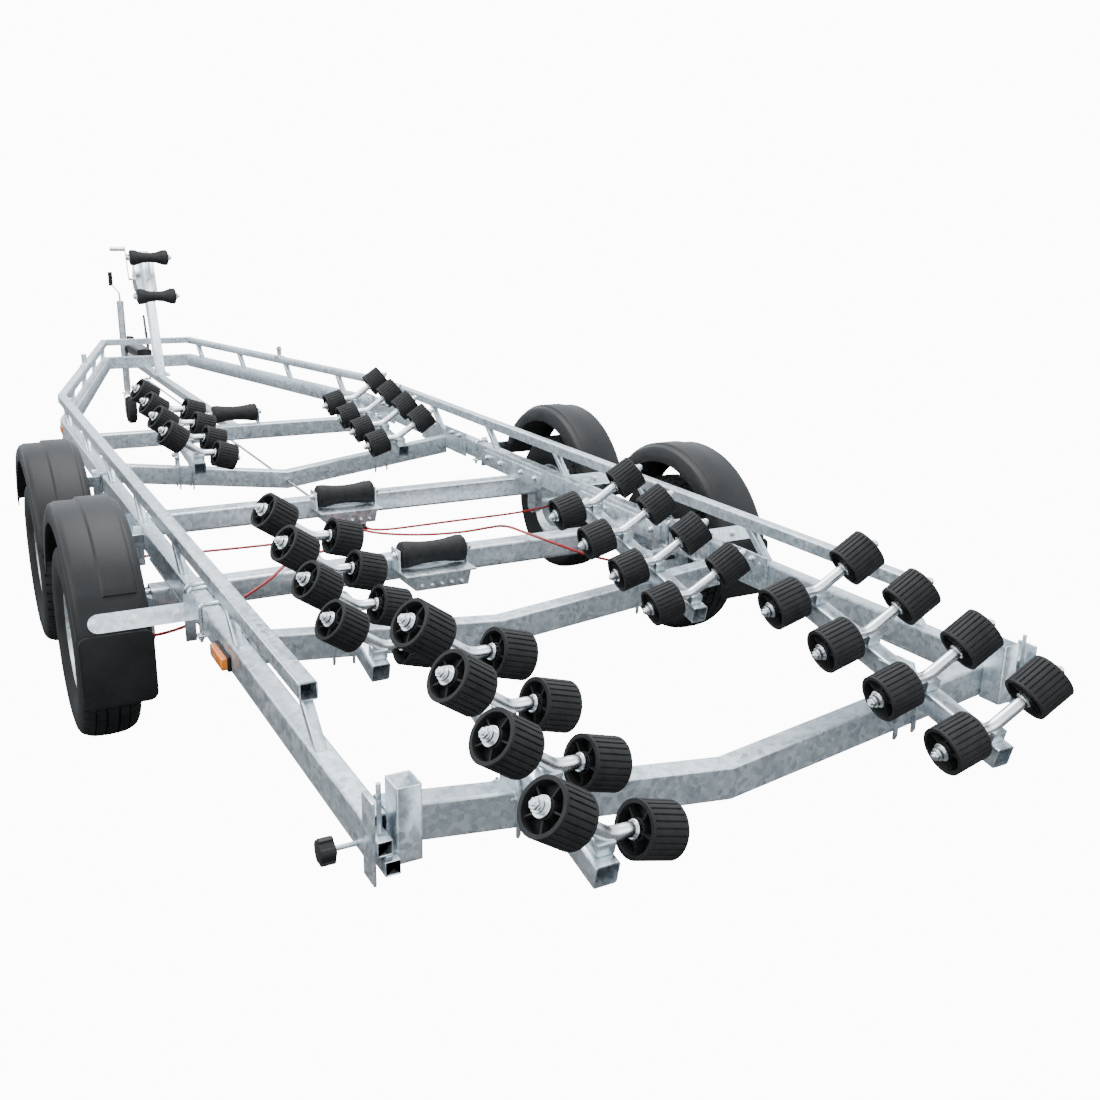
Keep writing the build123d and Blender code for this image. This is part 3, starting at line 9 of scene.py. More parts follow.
import bpy
from mathutils import Matrix, Vector
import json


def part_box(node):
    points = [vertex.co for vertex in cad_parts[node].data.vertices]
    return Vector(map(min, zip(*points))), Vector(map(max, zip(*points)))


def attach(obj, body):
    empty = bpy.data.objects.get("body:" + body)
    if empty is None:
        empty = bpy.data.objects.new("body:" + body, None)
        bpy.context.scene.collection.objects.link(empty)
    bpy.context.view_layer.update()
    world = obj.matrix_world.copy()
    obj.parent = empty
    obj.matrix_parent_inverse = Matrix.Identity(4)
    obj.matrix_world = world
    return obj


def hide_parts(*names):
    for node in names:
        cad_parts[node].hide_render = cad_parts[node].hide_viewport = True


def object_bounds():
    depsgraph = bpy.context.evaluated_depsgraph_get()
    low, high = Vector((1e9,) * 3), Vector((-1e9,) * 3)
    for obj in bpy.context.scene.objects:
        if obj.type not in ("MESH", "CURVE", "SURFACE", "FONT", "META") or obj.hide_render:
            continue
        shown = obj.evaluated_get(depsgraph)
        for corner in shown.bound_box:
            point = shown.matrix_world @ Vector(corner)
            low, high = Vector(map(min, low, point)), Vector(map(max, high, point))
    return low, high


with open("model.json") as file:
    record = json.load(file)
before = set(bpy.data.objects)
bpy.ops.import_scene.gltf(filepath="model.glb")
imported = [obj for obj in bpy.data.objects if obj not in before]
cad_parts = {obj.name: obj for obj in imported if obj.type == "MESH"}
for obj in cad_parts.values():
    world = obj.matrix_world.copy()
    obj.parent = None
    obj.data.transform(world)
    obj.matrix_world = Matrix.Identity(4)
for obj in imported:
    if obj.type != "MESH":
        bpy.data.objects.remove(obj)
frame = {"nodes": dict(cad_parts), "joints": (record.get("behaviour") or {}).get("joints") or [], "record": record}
cad_low, cad_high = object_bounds()
print("CAD box", [round(v, 3) for v in cad_low], [round(v, 3) for v in cad_high])

# %% [markdown]
# Shader nodes are quick to click together and slow to read in code. One small class makes them
# readable: it wraps a socket, so that an ordinary sum on two sockets adds the Math node for it.

# %% A finish and its values


class Value:
    """A socket of a shader node that can be added and multiplied."""

    def __init__(self, finish, socket):
        self.finish = finish
        self.socket = socket

    def maths(self, operation, other):
        """One Math node on this value and another."""
        return self.finish.node("ShaderNodeMath", {"operation": operation}, {0: self, 1: other})

    def __add__(self, other):
        return self.maths("ADD", other)

    def __mul__(self, other):
        return self.maths("MULTIPLY", other)


class Finish:
    """A material in the making, with a method that adds any node."""

    def __init__(self, name, **sockets):
        self.material = bpy.data.materials.new(name)
        self.material.use_nodes = True
        self.tree = self.material.node_tree
        self.shader = self.tree.nodes["Principled BSDF"]
        self.place = self.node("ShaderNodeTexCoord", out="Object")
        for socket, value in sockets.items():
            self.set(socket.replace("_", " ").title(), value)

    def node(self, kind, settings=None, inputs=None, out=0):
        """Add a node, set its settings, then fill or link its sockets."""
        made = self.tree.nodes.new(kind)
        for key, value in (settings or {}).items():
            setattr(made, key, value)
        for key, value in (inputs or {}).items():
            self.fill(made.inputs[key], value)
        return Value(self, made.outputs[out])

    def fill(self, socket, value):
        """Give a socket a link or a fixed value."""
        if isinstance(value, Value):
            self.tree.links.new(value.socket, socket)
        else:
            socket.default_value = value

    def set(self, name, value):
        """Fill a socket of the surface shader."""
        self.fill(self.shader.inputs[name], value)

    def noise(self, scale, detail, roughness=0.5, out=0):
        """Soft cloudy noise on the object's own coordinates."""
        inputs = {"Vector": self.place, "Scale": scale, "Detail": detail, "Roughness": roughness}
        return self.node("ShaderNodeTexNoise", None, inputs, out)

    def ramp(self, value, *stops):
        """A colour ramp: each stop is a place and a colour."""
        ramped = self.node("ShaderNodeValToRGB", None, {0: value})
        elements = ramped.socket.node.color_ramp.elements
        elements.remove(elements[1])
        for number, (place, colour) in enumerate(stops):
            element = elements.new(place) if number else elements[0]
            element.position = place
            element.color = colour
        return ramped

    def blend(self, share, first, second):
        """Mix two colours."""
        return self.node("ShaderNodeMix", {"data_type": "RGBA"}, {0: share, 6: first, 7: second}, 2)

    def bump(self, height, strength, distance):
        """Roughen the surface by a height map."""
        normal = self.node("ShaderNodeBump", None, {"Height": height, "Strength": strength,
                                                    "Distance": distance})
        self.set("Normal", normal)


def grey(level):
    """A grey as red, green, blue and alpha."""
    return (level, level, level, 1.0)


# %% [markdown]
# Hot-dip galvanising leaves crystals of zinc, called spangle, a few centimetres wide. Each
# crystal mirrors the light a little differently. Voronoi cells give every crystal its own
# grey and its own roughness, and a slow noise adds the dull and the bright areas of the bath.

# %% Galvanised steel
spangle_scale = 82.0
spangle_warp = 0.035
# columns: place on the ramp, and the colour there
zinc_tones = [(0.38, (0.36, 0.41, 0.45, 1.0)), (0.55, (0.54, 0.60, 0.64, 1.0)),
              (0.72, (0.70, 0.76, 0.79, 1.0)), (0.92, (0.88, 0.92, 0.94, 1.0))]


def galvanised_steel():
    """Spangled zinc on rolled steel tube."""
    zinc = Finish("galvanised_steel", metallic=0.9)
    warp = zinc.noise(14.0, 2.0, out="Color")
    place = zinc.blend(spangle_warp, zinc.place, warp)
    cells = {"Vector": place, "Scale": spangle_scale}
    crystals = zinc.node("ShaderNodeTexVoronoi", None, cells, "Color")
    crystal = zinc.node("ShaderNodeSeparateColor", None, {0: crystals}, "Red")
    cloud = zinc.noise(4.0, 4.0, 0.6)
    grain = zinc.noise(190.0, 3.0, 0.65)
    streaks = zinc.noise(26.0, 5.0, 0.7)
    tone = crystal * 0.26 + cloud * 0.42 + grain * 0.24 + streaks * 0.34
    zinc.set("Base Color", zinc.ramp(tone, *zinc_tones))
    zinc.set("Roughness", crystal * 0.12 + streaks * 0.2 + 0.2)
    zinc.bump(grain * 0.5 + crystal * 0.5, 0.25, 0.0006)
    return zinc.material


def zinc_plated_steel():
    """Bright electroplated tube and fasteners."""
    plate = Finish("zinc_plated_steel", metallic=1.0)
    cloud = plate.noise(22.0, 3.0, 0.6)
    grain = plate.noise(320.0, 2.0, 0.5)
    plate.set("Base Color", plate.ramp(cloud, (0.3, (0.62, 0.65, 0.67, 1.0)),
                                       (0.7, (0.86, 0.88, 0.88, 1.0))))
    plate.set("Roughness", cloud * 0.2 + grain * 0.08 + 0.12)
    plate.bump(grain, 0.08, 0.0003)
    return plate.material


# %% [markdown]
# Black is never one black. The rollers are a matt rubber with a grey bloom, the tyres are
# dustier, the mudguards are a moulded plastic that shines along its edges, and the painted
# lever and housing are the smoothest.

# %% Black rubber, plastic and paint
black_shine = 0.22


def black_finish(name, dark, light, roughness, bloom, grain_scale, bump):
    """A black with a cloudy bloom: from dark to light, rougher where it is dusty."""
    black = Finish(name)
    cloud = black.noise(bloom, 4.0, 0.65)
    grain = black.noise(grain_scale, 2.0, 0.5)
    black.set("Base Color", black.ramp(cloud, (0.32, dark), (0.78, light)))
    black.set("Roughness", cloud * 0.22 + grain * 0.1 + roughness)
    black.set("Specular IOR Level", black_shine)
    black.bump(grain, bump, 0.0004)
    return black.material


# %% [markdown]
# Two coloured finishes are left: the red sleeve of the brake cables and the amber lens of the
# side lamps, which is a clear plastic over a moulded grid.

# %% Red cable sleeve and amber lens


def red_sleeve():
    """Glossy red plastic, darker where dirt has settled."""
    sleeve = Finish("red_cable", roughness=0.38)
    dirt = sleeve.noise(30.0, 4.0, 0.6)
    sleeve.set("Base Color", sleeve.ramp(dirt, (0.3, (0.16, 0.008, 0.008, 1.0)),
                                         (0.7, (0.42, 0.02, 0.018, 1.0))))
    return sleeve.material


def amber_lens():
    """Amber plastic with a fine moulded grid."""
    lens = Finish("amber_lens", roughness=0.16, coat_weight=0.6)
    grid = lens.node("ShaderNodeTexVoronoi", {"feature": "F1"},
                     {"Vector": lens.place, "Scale": 190.0}, "Distance")
    lens.set("Base Color", lens.ramp(grid, (0.0, (0.95, 0.30, 0.02, 1.0)),
                                     (0.7, (0.62, 0.13, 0.004, 1.0))))
    lens.bump(grid, 0.4, 0.0008)
    return lens.material


# a black: its name, darkest, lightest, roughness, scale of the bloom and of the grain, bump
finishes = {
    "galvanised_steel": galvanised_steel(),
    "zinc_plated_steel": zinc_plated_steel(),
    "black_rubber": black_finish("black_rubber", grey(0.007), grey(0.020), 0.5, 30.0, 420.0, 0.3),
    "tyre_rubber": black_finish("tyre_rubber", grey(0.006), grey(0.018), 0.62, 12.0, 300.0, 0.35),
    "wheel_steel": galvanised_steel(),
    "black_plastic": black_finish("black_plastic", grey(0.006), grey(0.015), 0.3, 7.0, 700.0, 0.12),
    "black_paint": black_finish("black_paint", grey(0.010), grey(0.022), 0.2, 14.0, 260.0, 0.05),
    "red_cable": red_sleeve(),
    "amber_lens": amber_lens(),
}

# %% Give each CAD node its finish
node_finish = {part["node"]: part["material_slot"] for part in frame["record"]["subparts"]}
for name, node in frame["nodes"].items():
    node.data.materials.clear()
    node.data.materials.append(finishes[node_finish[name]])
print(len(node_finish), "CAD nodes have a finish")
rail_low, rail_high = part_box("top_rails")

# %% [markdown]
# Every piece below is made by hand methods: a primitive is added, faces or edges are picked by
# where they are, and then they are extruded, inset, scaled or bevelled. These few helpers say
# which piece is worked on, pick its faces, place copies and join them into one finished piece.

# %% Helpers for modelling
origin = (0.0, 0.0, 0.0)
both_sides = (1.0, -1.0)


def work_on(*pieces):
    """Select these pieces and nothing else. The first is the active one."""
    bpy.ops.object.select_all(action="DESELECT")
    for piece in pieces:
        piece.select_set(True)
    bpy.context.view_layer.objects.active = pieces[0]


def edit_mode():
    """Start to edit the mesh of the active piece."""
    bpy.ops.object.mode_set(mode="EDIT")


def object_mode():
    """Leave edit mode."""
    bpy.ops.object.mode_set(mode="OBJECT")


def pick_none(piece, kind):
    """Work on a piece with none of its faces or edges picked."""
    work_on(piece)
    edit_mode()
    bpy.ops.mesh.select_mode(type=kind)
    bpy.ops.mesh.select_all(action="DESELECT")
    object_mode()


def pick_faces(piece, test):
    """Go to edit mode with only the faces selected that pass a test on middle and normal."""
    pick_none(piece, "FACE")
    for face in piece.data.polygons:
        face.select = test(face.center, face.normal)
    edit_mode()


def pick_edges(piece, test):
    """Go to edit mode with only the edges selected that pass a test on their two ends."""
    pick_none(piece, "EDGE")
    for edge in piece.data.edges:
        edge.select = test(*[piece.data.vertices[number].co for number in edge.vertices])
    edit_mode()


def extrude_scaled(x, y, z):
    """Extrude what is selected, and scale it from the origin."""
    bpy.ops.mesh.extrude_region()
    bpy.ops.transform.resize(value=(x, y, z), center_override=origin)


def cut_across(piece, height):
    """Cut all the faces of a piece along a level plane."""
    pick_faces(piece, lambda middle, normal: True)
    bpy.ops.mesh.bisect(plane_co=(0.0, 0.0, height), plane_no=(0.0, 0.0, 1.0))
    object_mode()


def sector(x, y, count):
    """Which of so many equal sectors round the origin a place is in."""
    return int(atan2(y, x) % (2 * pi) / (2 * pi) * count)


def side_of(name):
    """1 for a name that ends in left, which is +Y, and -1 for one that ends in right."""
    return 1.0 if name.endswith("left") else -1.0


def middle_of(node):
    """The middle of a CAD node's box."""
    low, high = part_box(node)
    return (low + high) / 2


def fix_place():
    """Put the active object's place, turn and scale into its mesh."""
    bpy.ops.object.transform_apply(location=True, rotation=True, scale=True)
    return bpy.context.object


def cylinder(radius, depth, middle=origin, turn=(0.0, 0.0, 0.0), sides=32):
    """A cylinder along Z, turned and moved."""
    bpy.ops.mesh.primitive_cylinder_add(vertices=sides, radius=radius, depth=depth,
                                        location=middle, rotation=turn)
    return fix_place()


def block(size, middle=origin, turn=(0.0, 0.0, 0.0)):
    """A box by its size and its middle."""
    bpy.ops.mesh.primitive_cube_add(size=1.0, location=middle, rotation=turn)
    bpy.context.object.scale = size
    return fix_place()


def bevel_piece(piece, width, segments=2, angle=30.0):
    """Round the sharp edges with a Bevel modifier, and apply it."""
    work_on(piece)
    bevel = piece.modifiers.new("edges", "BEVEL")
    bevel.width = width
    bevel.segments = segments
    bevel.limit_method = "ANGLE"
    bevel.angle_limit = radians(angle)
    bpy.ops.object.modifier_apply(modifier=bevel.name)
    return piece


def add_object(name, data):
    """Put a mesh or a curve in the scene."""
    made = bpy.data.objects.new(name, data)
    bpy.context.scene.collection.objects.link(made)
    return made


def placed(piece, matrix):
    """A copy with its own mesh, put in place. A mirrored copy is turned the right side out."""
    copy = add_object(piece.name, piece.data.copy())
    copy.data.transform(matrix)
    if matrix.determinant() < 0:
        copy.data.flip_normals()
    return copy


def facing(point, direction, size=1.0):
    """A matrix that takes Z to a direction and the origin to a point."""
    turn = Vector(direction).to_track_quat("Z", "Y").to_matrix().to_4x4()
    return Matrix.Translation(point) @ turn @ Matrix.Scale(size, 4)


def round_line(name, radius, kind, ring_steps, line_steps):
    """A curve with a round section and closed ends, and its one spline."""
    line = bpy.data.curves.new(name, "CURVE")
    line.dimensions = "3D"
    line.bevel_depth = radius
    line.bevel_resolution = ring_steps
    line.resolution_u = line_steps
    line.use_fill_caps = True
    return line, line.splines.new(kind)


def bezier_tube(name, radius, stops, ring_steps, line_steps):
    """A round tube through stops: a place, the handle behind it and the handle ahead of it."""
    line, spline = round_line(name, radius, "BEZIER", ring_steps, line_steps)
    spline.bezier_points.add(len(stops) - 1)
    for point, (place, behind, ahead) in zip(spline.bezier_points, stops):
        point.co = place
        point.handle_left = behind
        point.handle_right = ahead
    work_on(add_object(name, line))
    bpy.ops.object.convert(target="MESH")
    return bpy.context.object


def joined(parts):
    """Join parts into the first of them."""
    work_on(*parts)
    if len(parts) > 1:
        bpy.ops.object.join()
    return parts[0]


def finished(name, parts, finish, body="chassis", angle=35.0):
    """Join parts into one named piece with its finish, smoothed, that rides on a body."""
    piece = joined(parts)
    piece.name = name
    piece.data.materials.clear()
    piece.data.materials.append(finishes[finish])
    bpy.ops.object.shade_smooth_by_angle(angle=radians(angle))
    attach(piece, body)
    return piece


def discard(*pieces):
    """Remove models that were only copied from."""
    for piece in pieces:
        bpy.data.objects.remove(piece)


bodies = frame["record"]["behaviour"]["bodies"]
body_of_node = {node: body for body, nodes in bodies.items() for node in nodes}

# %% [markdown]
# Real steel has no knife edges: a folded plate or a welded tube is rounded by a millimetre or
# two, and that narrow band catches the light. The CAD nodes have sharp edges, so each node named
# here is copied, its loose triangles are merged and its flat faces are dissolved into one each.
# The nodes of the bevel table get their edges bevelled, and the others are only smoothed. The
# copy then stands for the node.

# %% Rounded copies of the CAD nodes
merge_distance = 0.00002
flat_angle = radians(1.0)
round_angle = 50.0


def rounded_copy(node, width, angle=35.0):
    """A merged and bevelled copy that stands for a CAD node."""
    copy = add_object(node + "_rounded", frame["nodes"][node].data.copy())
    work_on(copy)
    edit_mode()
    bpy.ops.mesh.select_all(action="SELECT")
    bpy.ops.mesh.remove_doubles(threshold=merge_distance)
    bpy.ops.mesh.dissolve_limited(angle_limit=flat_angle)
    object_mode()
    if width:
        bevel_piece(copy, width)
    piece = finished(copy.name, [copy], node_finish[node], body_of_node[node], angle)
    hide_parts(node)
    return piece


def rounded_straps(node, corner):
    """The mudguard straps with round outer ends: the short upright edges there are bevelled."""
    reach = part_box(node)[1].y
    near = 0.001
    short = 0.012

    def at_outer_end(first, second):
        outside = all(abs(abs(end.y) - reach) < near for end in (first, second))
        return outside and (first - second).length < short

    pick_edges(rounded_copy(node, 0.0), at_outer_end)
    bpy.ops.mesh.bevel(offset=corner, segments=8)
    object_mode()


def open_posts(node, wall, depth):
    """The rear cross member with the tops of its two end posts hollowed."""
    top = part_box(node)[1].z
    near = 0.002
    piece = rounded_copy(node, 0.0, round_angle)
    pick_faces(piece, lambda middle, normal: normal.z > 0.9 and middle.z > top - near)
    bpy.ops.mesh.inset(thickness=wall)
    bpy.ops.mesh.extrude_region()
    bpy.ops.transform.translate(value=(0.0, 0.0, -depth))
    object_mode()


# columns: width of the bevel, then the nodes
bevel_table = [
    (0.0060, ["nose_lower_frame", "nose_top_frame"]),
    (0.0030, ["struts", "side_lamps", "handbrake_lever"]),
    (0.0015, ["axle_mounts", "swing_pivots", "keel_roller_brackets", "lamp_board_holders",
              "winch", "mudflaps", "jockey_clamp", "jockey_fork", "brake_linkage"]),
    (0.0050, ["coupling_head"]),
    (0.0008, ["mudguards_left", "mudguards_right"]),
]
for width, nodes in bevel_table:
    for node in nodes:
        rounded_copy(node, width)
smooth_nodes = ["keel_roller_front", "keel_roller_mid", "keel_roller_rear", "bow_roller_upper",
                "bow_roller_lower", "jockey_mast", "jockey_stem", "jockey_wheel",
                "overrun_housing", "wheel_front_left", "wheel_front_right", "wheel_rear_left",
                "wheel_rear_right", "front_axle", "rear_axle", "lower_rails", "top_rails",
                "cross_members", "keel_beam", "winch_post"]
for node in smooth_nodes:
    rounded_copy(node, 0.0, round_angle)
rounded_straps("mudguard_straps", corner=0.028)
open_posts("rear_cross_member", wall=0.004, depth=0.070)
print(len(smooth_nodes), "nodes smoothed")

# %% [markdown]
# The hull rollers give this trailer its look. Each is a soft rubber drum with narrow grooves
# along it, a plain ring at both ends and a deep hollow end with thin spokes round its hub. One
# drum is modelled upright: a cylinder with four side faces to each groove, cut near its ends
# so that the grooves stop there. Every fourth face is then sunk for a groove, and the caps are
# inset and sunk for the hollow ends.

# %% One hull roller
roller_radius = 0.055
roller_length = 0.086
groove_count = 26
faces_per_groove = 4
groove_depth = 0.0035
end_ring = 0.006
roller_wall = 0.009
hollow_depth = 0.03
hub_radius = 0.021
hub_rise = 0.024
spoke_count = 5
spoke_thickness = 0.0035
spoke_overlap = 0.004
spoke_setback = 0.008
first_spoke = 0.4


def make_roller():
    """A grooved rubber roller along Z, its middle at the origin."""
    half = roller_length / 2
    sides = groove_count * faces_per_groove
    roller = cylinder(roller_radius, roller_length, sides=sides)
    for place in (end_ring - half, half - end_ring):
        cut_across(roller, place)

    def in_groove(middle, normal):
        along_side = abs(normal.z) < 0.1 and abs(middle.z) < half - end_ring
        return along_side and sector(middle.x, middle.y, sides) % faces_per_groove == 0

    pick_faces(roller, in_groove)
    sunk = 1 - groove_depth / roller_radius
    extrude_scaled(sunk, sunk, 1.0)
    object_mode()
    pick_faces(roller, lambda middle, normal: abs(middle.z) > half - 0.001)
    bpy.ops.mesh.inset(thickness=roller_wall)
    extrude_scaled(1.0, 1.0, (half - hollow_depth) / half)
    bpy.ops.mesh.inset(thickness=roller_radius - roller_wall - hub_radius)
    extrude_scaled(1.0, 1.0, (half - hollow_depth + hub_rise) / (half - hollow_depth))
    object_mode()
    bevel_piece(roller, 0.0008, 1, 40.0)
    parts = [roller]
    spoke_middle = (hub_radius + roller_radius - roller_wall) / 2
    spoke_size = (roller_radius - roller_wall - hub_radius + spoke_overlap, spoke_thickness,
                  hollow_depth - spoke_setback)
    for end in (-1, 1):
        for number in range(spoke_count):
            turn = 2 * pi * number / spoke_count + first_spoke
            place = (spoke_middle * cos(turn), spoke_middle * sin(turn),
                     end * (half - hollow_depth + spoke_size[2] / 2))
            parts.append(block(spoke_size, place, (0.0, 0.0, turn)))
    return joined(parts)


roller_model = make_roller()
print("hull roller faces", len(roller_model.data.polygons))

# %% [markdown]
# A bolt is two things seen from a step away: a round washer and a six-sided nut with its corners
# taken off. One is modelled with a nut of a metre's radius, with the end of its thread showing,
# and scaled down to its real radius wherever it is placed.

# %% One bolt, copied everywhere
wheel_nut = 0.011
arm_nut = 0.0115
axle_nut = 0.0115
frame_nut = 0.0105
pin_nut = 0.013
clamp_nut = 0.0085
tray_nut = 0.006


def make_bolt():
    """A washer, a hexagon nut and the thread's end, on the floor at the origin."""
    # columns: radius, height, height of its middle, sides, bevel, least angle that is bevelled
    discs = [(1.3, 0.22, 0.11, 24, 0.05, 30.0), (1.0, 0.8, 0.62, 6, 0.08, 50.0),
             (0.52, 0.5, 1.1, 12, 0.08, 50.0)]
    parts = []
    for radius, height, middle, sides, width, angle in discs:
        disc = cylinder(radius, height, (0.0, 0.0, middle), sides=sides)
        parts.append(bevel_piece(disc, width, 1, angle))
    return joined(parts)


bolt_model = make_bolt()


def bolts(name, rows, size, body="chassis", finish="zinc_plated_steel"):
    """Bolts at rows of a point and a direction, joined into one piece."""
    parts = [placed(bolt_model, facing(point, direction, size)) for point, direction in rows]
    return finished(name, parts, finish, body)


# %% [markdown]
# Each of the six beams is a square tube that swings on a pin and carries four bent arms, and an
# arm carries a roller at each end. The beam is a cube stretched along X, with its long edges
# bevelled and its ends inset and sunk. The arm is one bent tube, made as a Bezier curve whose
# handles draw the two bends, with a round bevel. A collar, a washer and a bright nut hold each
# roller. Everything is modelled level at the origin, and then copied to each beam's tilt.

# %% One beam and one arm
beam_size = 0.050
beam_wall = 0.003
beam_length = 0.672
arm_radius = 0.0145
arm_height = 0.053
arm_bend_radius = 0.060
outer_bend = 0.018
inner_bend = 0.060
outer_reach = 0.096
inner_reach = 0.112
outer_rise_angle = radians(36.0)
inner_fall_angle = radians(18.0)
past_roller = 0.010
arm_pitch = 0.197
arm_count = 4
collar_radius = 0.019
collar_length = 0.010
washer_radius = 0.0205
washer_thickness = 0.003
# places in the plane across the beam: Y is out from the trailer's middle, Z is up
level = Vector((0.0, 0.0, arm_height))
outward = Vector((0.0, cos(outer_rise_angle), sin(outer_rise_angle)))
inward = Vector((0.0, -cos(inner_fall_angle), -sin(inner_fall_angle)))
outer_corner = level + Vector((0.0, -outer_bend, 0.0))
inner_corner = level + Vector((0.0, -inner_bend, 0.0))
outer_middle = outer_corner + outward * ((outer_reach + outer_bend) / cos(outer_rise_angle))
inner_middle = inner_corner + inward * ((inner_reach - inner_bend) / cos(inner_fall_angle))
arm_ends = ((inner_middle, inward), (outer_middle, outward))


def make_beam():
    """A square tube along X with rounded edges and open ends."""
    beam = block((beam_length, beam_size, beam_size))
    pick_edges(beam, lambda first, second: abs(first.x - second.x) > beam_length / 2)
    bpy.ops.mesh.bevel(offset=beam_wall * 2, segments=3)
    object_mode()
    pick_faces(beam, lambda middle, normal: abs(normal.x) > 0.9)
    bpy.ops.mesh.inset(thickness=beam_wall)
    extrude_scaled(0.5, 1.0, 1.0)
    object_mode()
    return beam


def make_arm():
    """A tube with two bends, from the inner roller to the outer one."""
    inner_tangent = arm_bend_radius * tan(inner_fall_angle / 2)
    outer_tangent = arm_bend_radius * tan(outer_rise_angle / 2)
    sideways = Vector((0.0, 1.0, 0.0))
    half = roller_length / 2 + past_roller
    inner_handle = 4 / 3 * tan(inner_fall_angle / 4) * arm_bend_radius
    outer_handle = 4 / 3 * tan(outer_rise_angle / 4) * arm_bend_radius
    # columns: place, direction of travel, length of the handle behind and of the handle ahead
    rows = [(inner_middle + inward * half, -inward, 0.01, 0.01),
            (inner_corner + inward * inner_tangent, -inward, 0.01, inner_handle),
            (inner_corner + sideways * inner_tangent, sideways, inner_handle, 0.002),
            (outer_corner - sideways * outer_tangent, sideways, 0.002, outer_handle),
            (outer_corner + outward * outer_tangent, outward, outer_handle, 0.01),
            (outer_middle + outward * half, outward, 0.01, 0.01)]
    stops = [(place, place - travel * behind, place + travel * ahead)
             for place, travel, behind, ahead in rows]
    return bezier_tube("roller_arm", arm_radius, stops, 6, 6)


def make_arm_fittings():
    """Collars, washers and nuts of one arm."""
    parts = []
    half = roller_length / 2
    collar = bevel_piece(cylinder(collar_radius, collar_length, sides=28), 0.0015, 1)
    washer = bevel_piece(cylinder(washer_radius, washer_thickness, sides=28), 0.0008, 1)
    for middle, away in arm_ends:
        parts.append(placed(collar, facing(middle - away * (half - 0.001), away)))
        parts.append(placed(washer, facing(middle + away * (half + 0.0005), away)))
        parts.append(placed(bolt_model, facing(middle + away * (half + past_roller), away, arm_nut)))
    discard(collar, washer)
    return parts


beam_model = make_beam()
arm_model = make_arm()
saddle_model = bevel_piece(block((0.040, 0.040, arm_height - beam_size / 2),
                                 (0.0, -0.005, (arm_height + beam_size / 2) / 2)), 0.003)
fitting_models = make_arm_fittings()
print("arm from", [round(v, 3) for v in inner_middle], "to", [round(v, 3) for v in outer_middle])

# %% [markdown]
# Now the six assemblies. A beam's pin and its body come from the frame's joints. Only its tilt
# at rest isn't in the joint, so it is named here for the three rows.

# %% The six swinging beams
rest_tilt = {"rear": 13.0, "mid": 14.0, "front": 9.0}
for joint in frame["joints"]:
    words = joint["name"].split("_")
    if words[:2] != ["swing", "beam"]:
        continue
    row, place = words[2], words[3]
    tilt = radians(rest_tilt[row])
    along = Vector((cos(tilt), 0.0, sin(tilt)))
    out = Vector((0.0, side_of(place), 0.0))
    upward = Vector((-sin(tilt), 0.0, cos(tilt)))
    seat = Matrix((along, out, upward)).transposed().to_4x4()
    seat.translation = Vector(joint["pos_m"])
    body = joint["child"]
    steps = [number - (arm_count - 1) / 2 for number in range(arm_count)]
    spots = [seat @ Matrix.Translation((step * arm_pitch, 0.0, 0.0)) for step in steps]
    beam = finished(f"beam_{row}_{place}", [placed(beam_model, seat)]
                    + [placed(saddle_model, spot) for spot in spots], "galvanised_steel", body)
    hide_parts(f"swing_beam_{row}_{place}")
    fittings = [placed(arm_model, spot) for spot in spots]
    fittings += [placed(model, spot) for spot in spots for model in fitting_models]
    finished(f"arms_{row}_{place}", fittings, "zinc_plated_steel", body)
    rollers = [placed(roller_model, spot @ facing(middle, away))
               for spot in spots for middle, away in arm_ends]
    drums = finished(f"rollers_{row}_{place}", rollers, "black_rubber", body, 30.0)
    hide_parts(f"hull_rollers_{row}_{place}")
discard(roller_model, beam_model, arm_model, saddle_model, *fitting_models)
print("six beams with 48 rollers")

# %% [markdown]
# A tyre is a section turned round the axle. The section is drawn as a chain of points, from one
# bead over the crown to the other and back along the inside, and Spin sweeps it round. The
# narrow bands of the crown are then sunk for the grooves that run round, and faces at even
# steps for the cuts across the ribs and the shoulders.

# %% Tyres
tyre_steps = 216
groove_sunk = 0.976
tread_from = 0.278
inner_groove = (0.014, 0.020)
outer_groove = (0.044, 0.049)
rib_cut_steps = 6
shoulder_cut_steps = 4
# columns: metres from the tyre's middle plane, and from its axle
outer_half = [(0.063, 0.166), (0.067, 0.178), (0.077, 0.191), (0.084, 0.208), (0.0872, 0.230),
              (0.0868, 0.250), (0.083, 0.270), (0.077, 0.281), (0.070, 0.2865), (0.060, 0.291),
              (0.049, 0.2955), (0.044, 0.2968), (0.020, 0.2993), (0.014, 0.2996)]
inner_half = [(0.050, 0.168), (0.074, 0.225), (0.052, 0.284)]


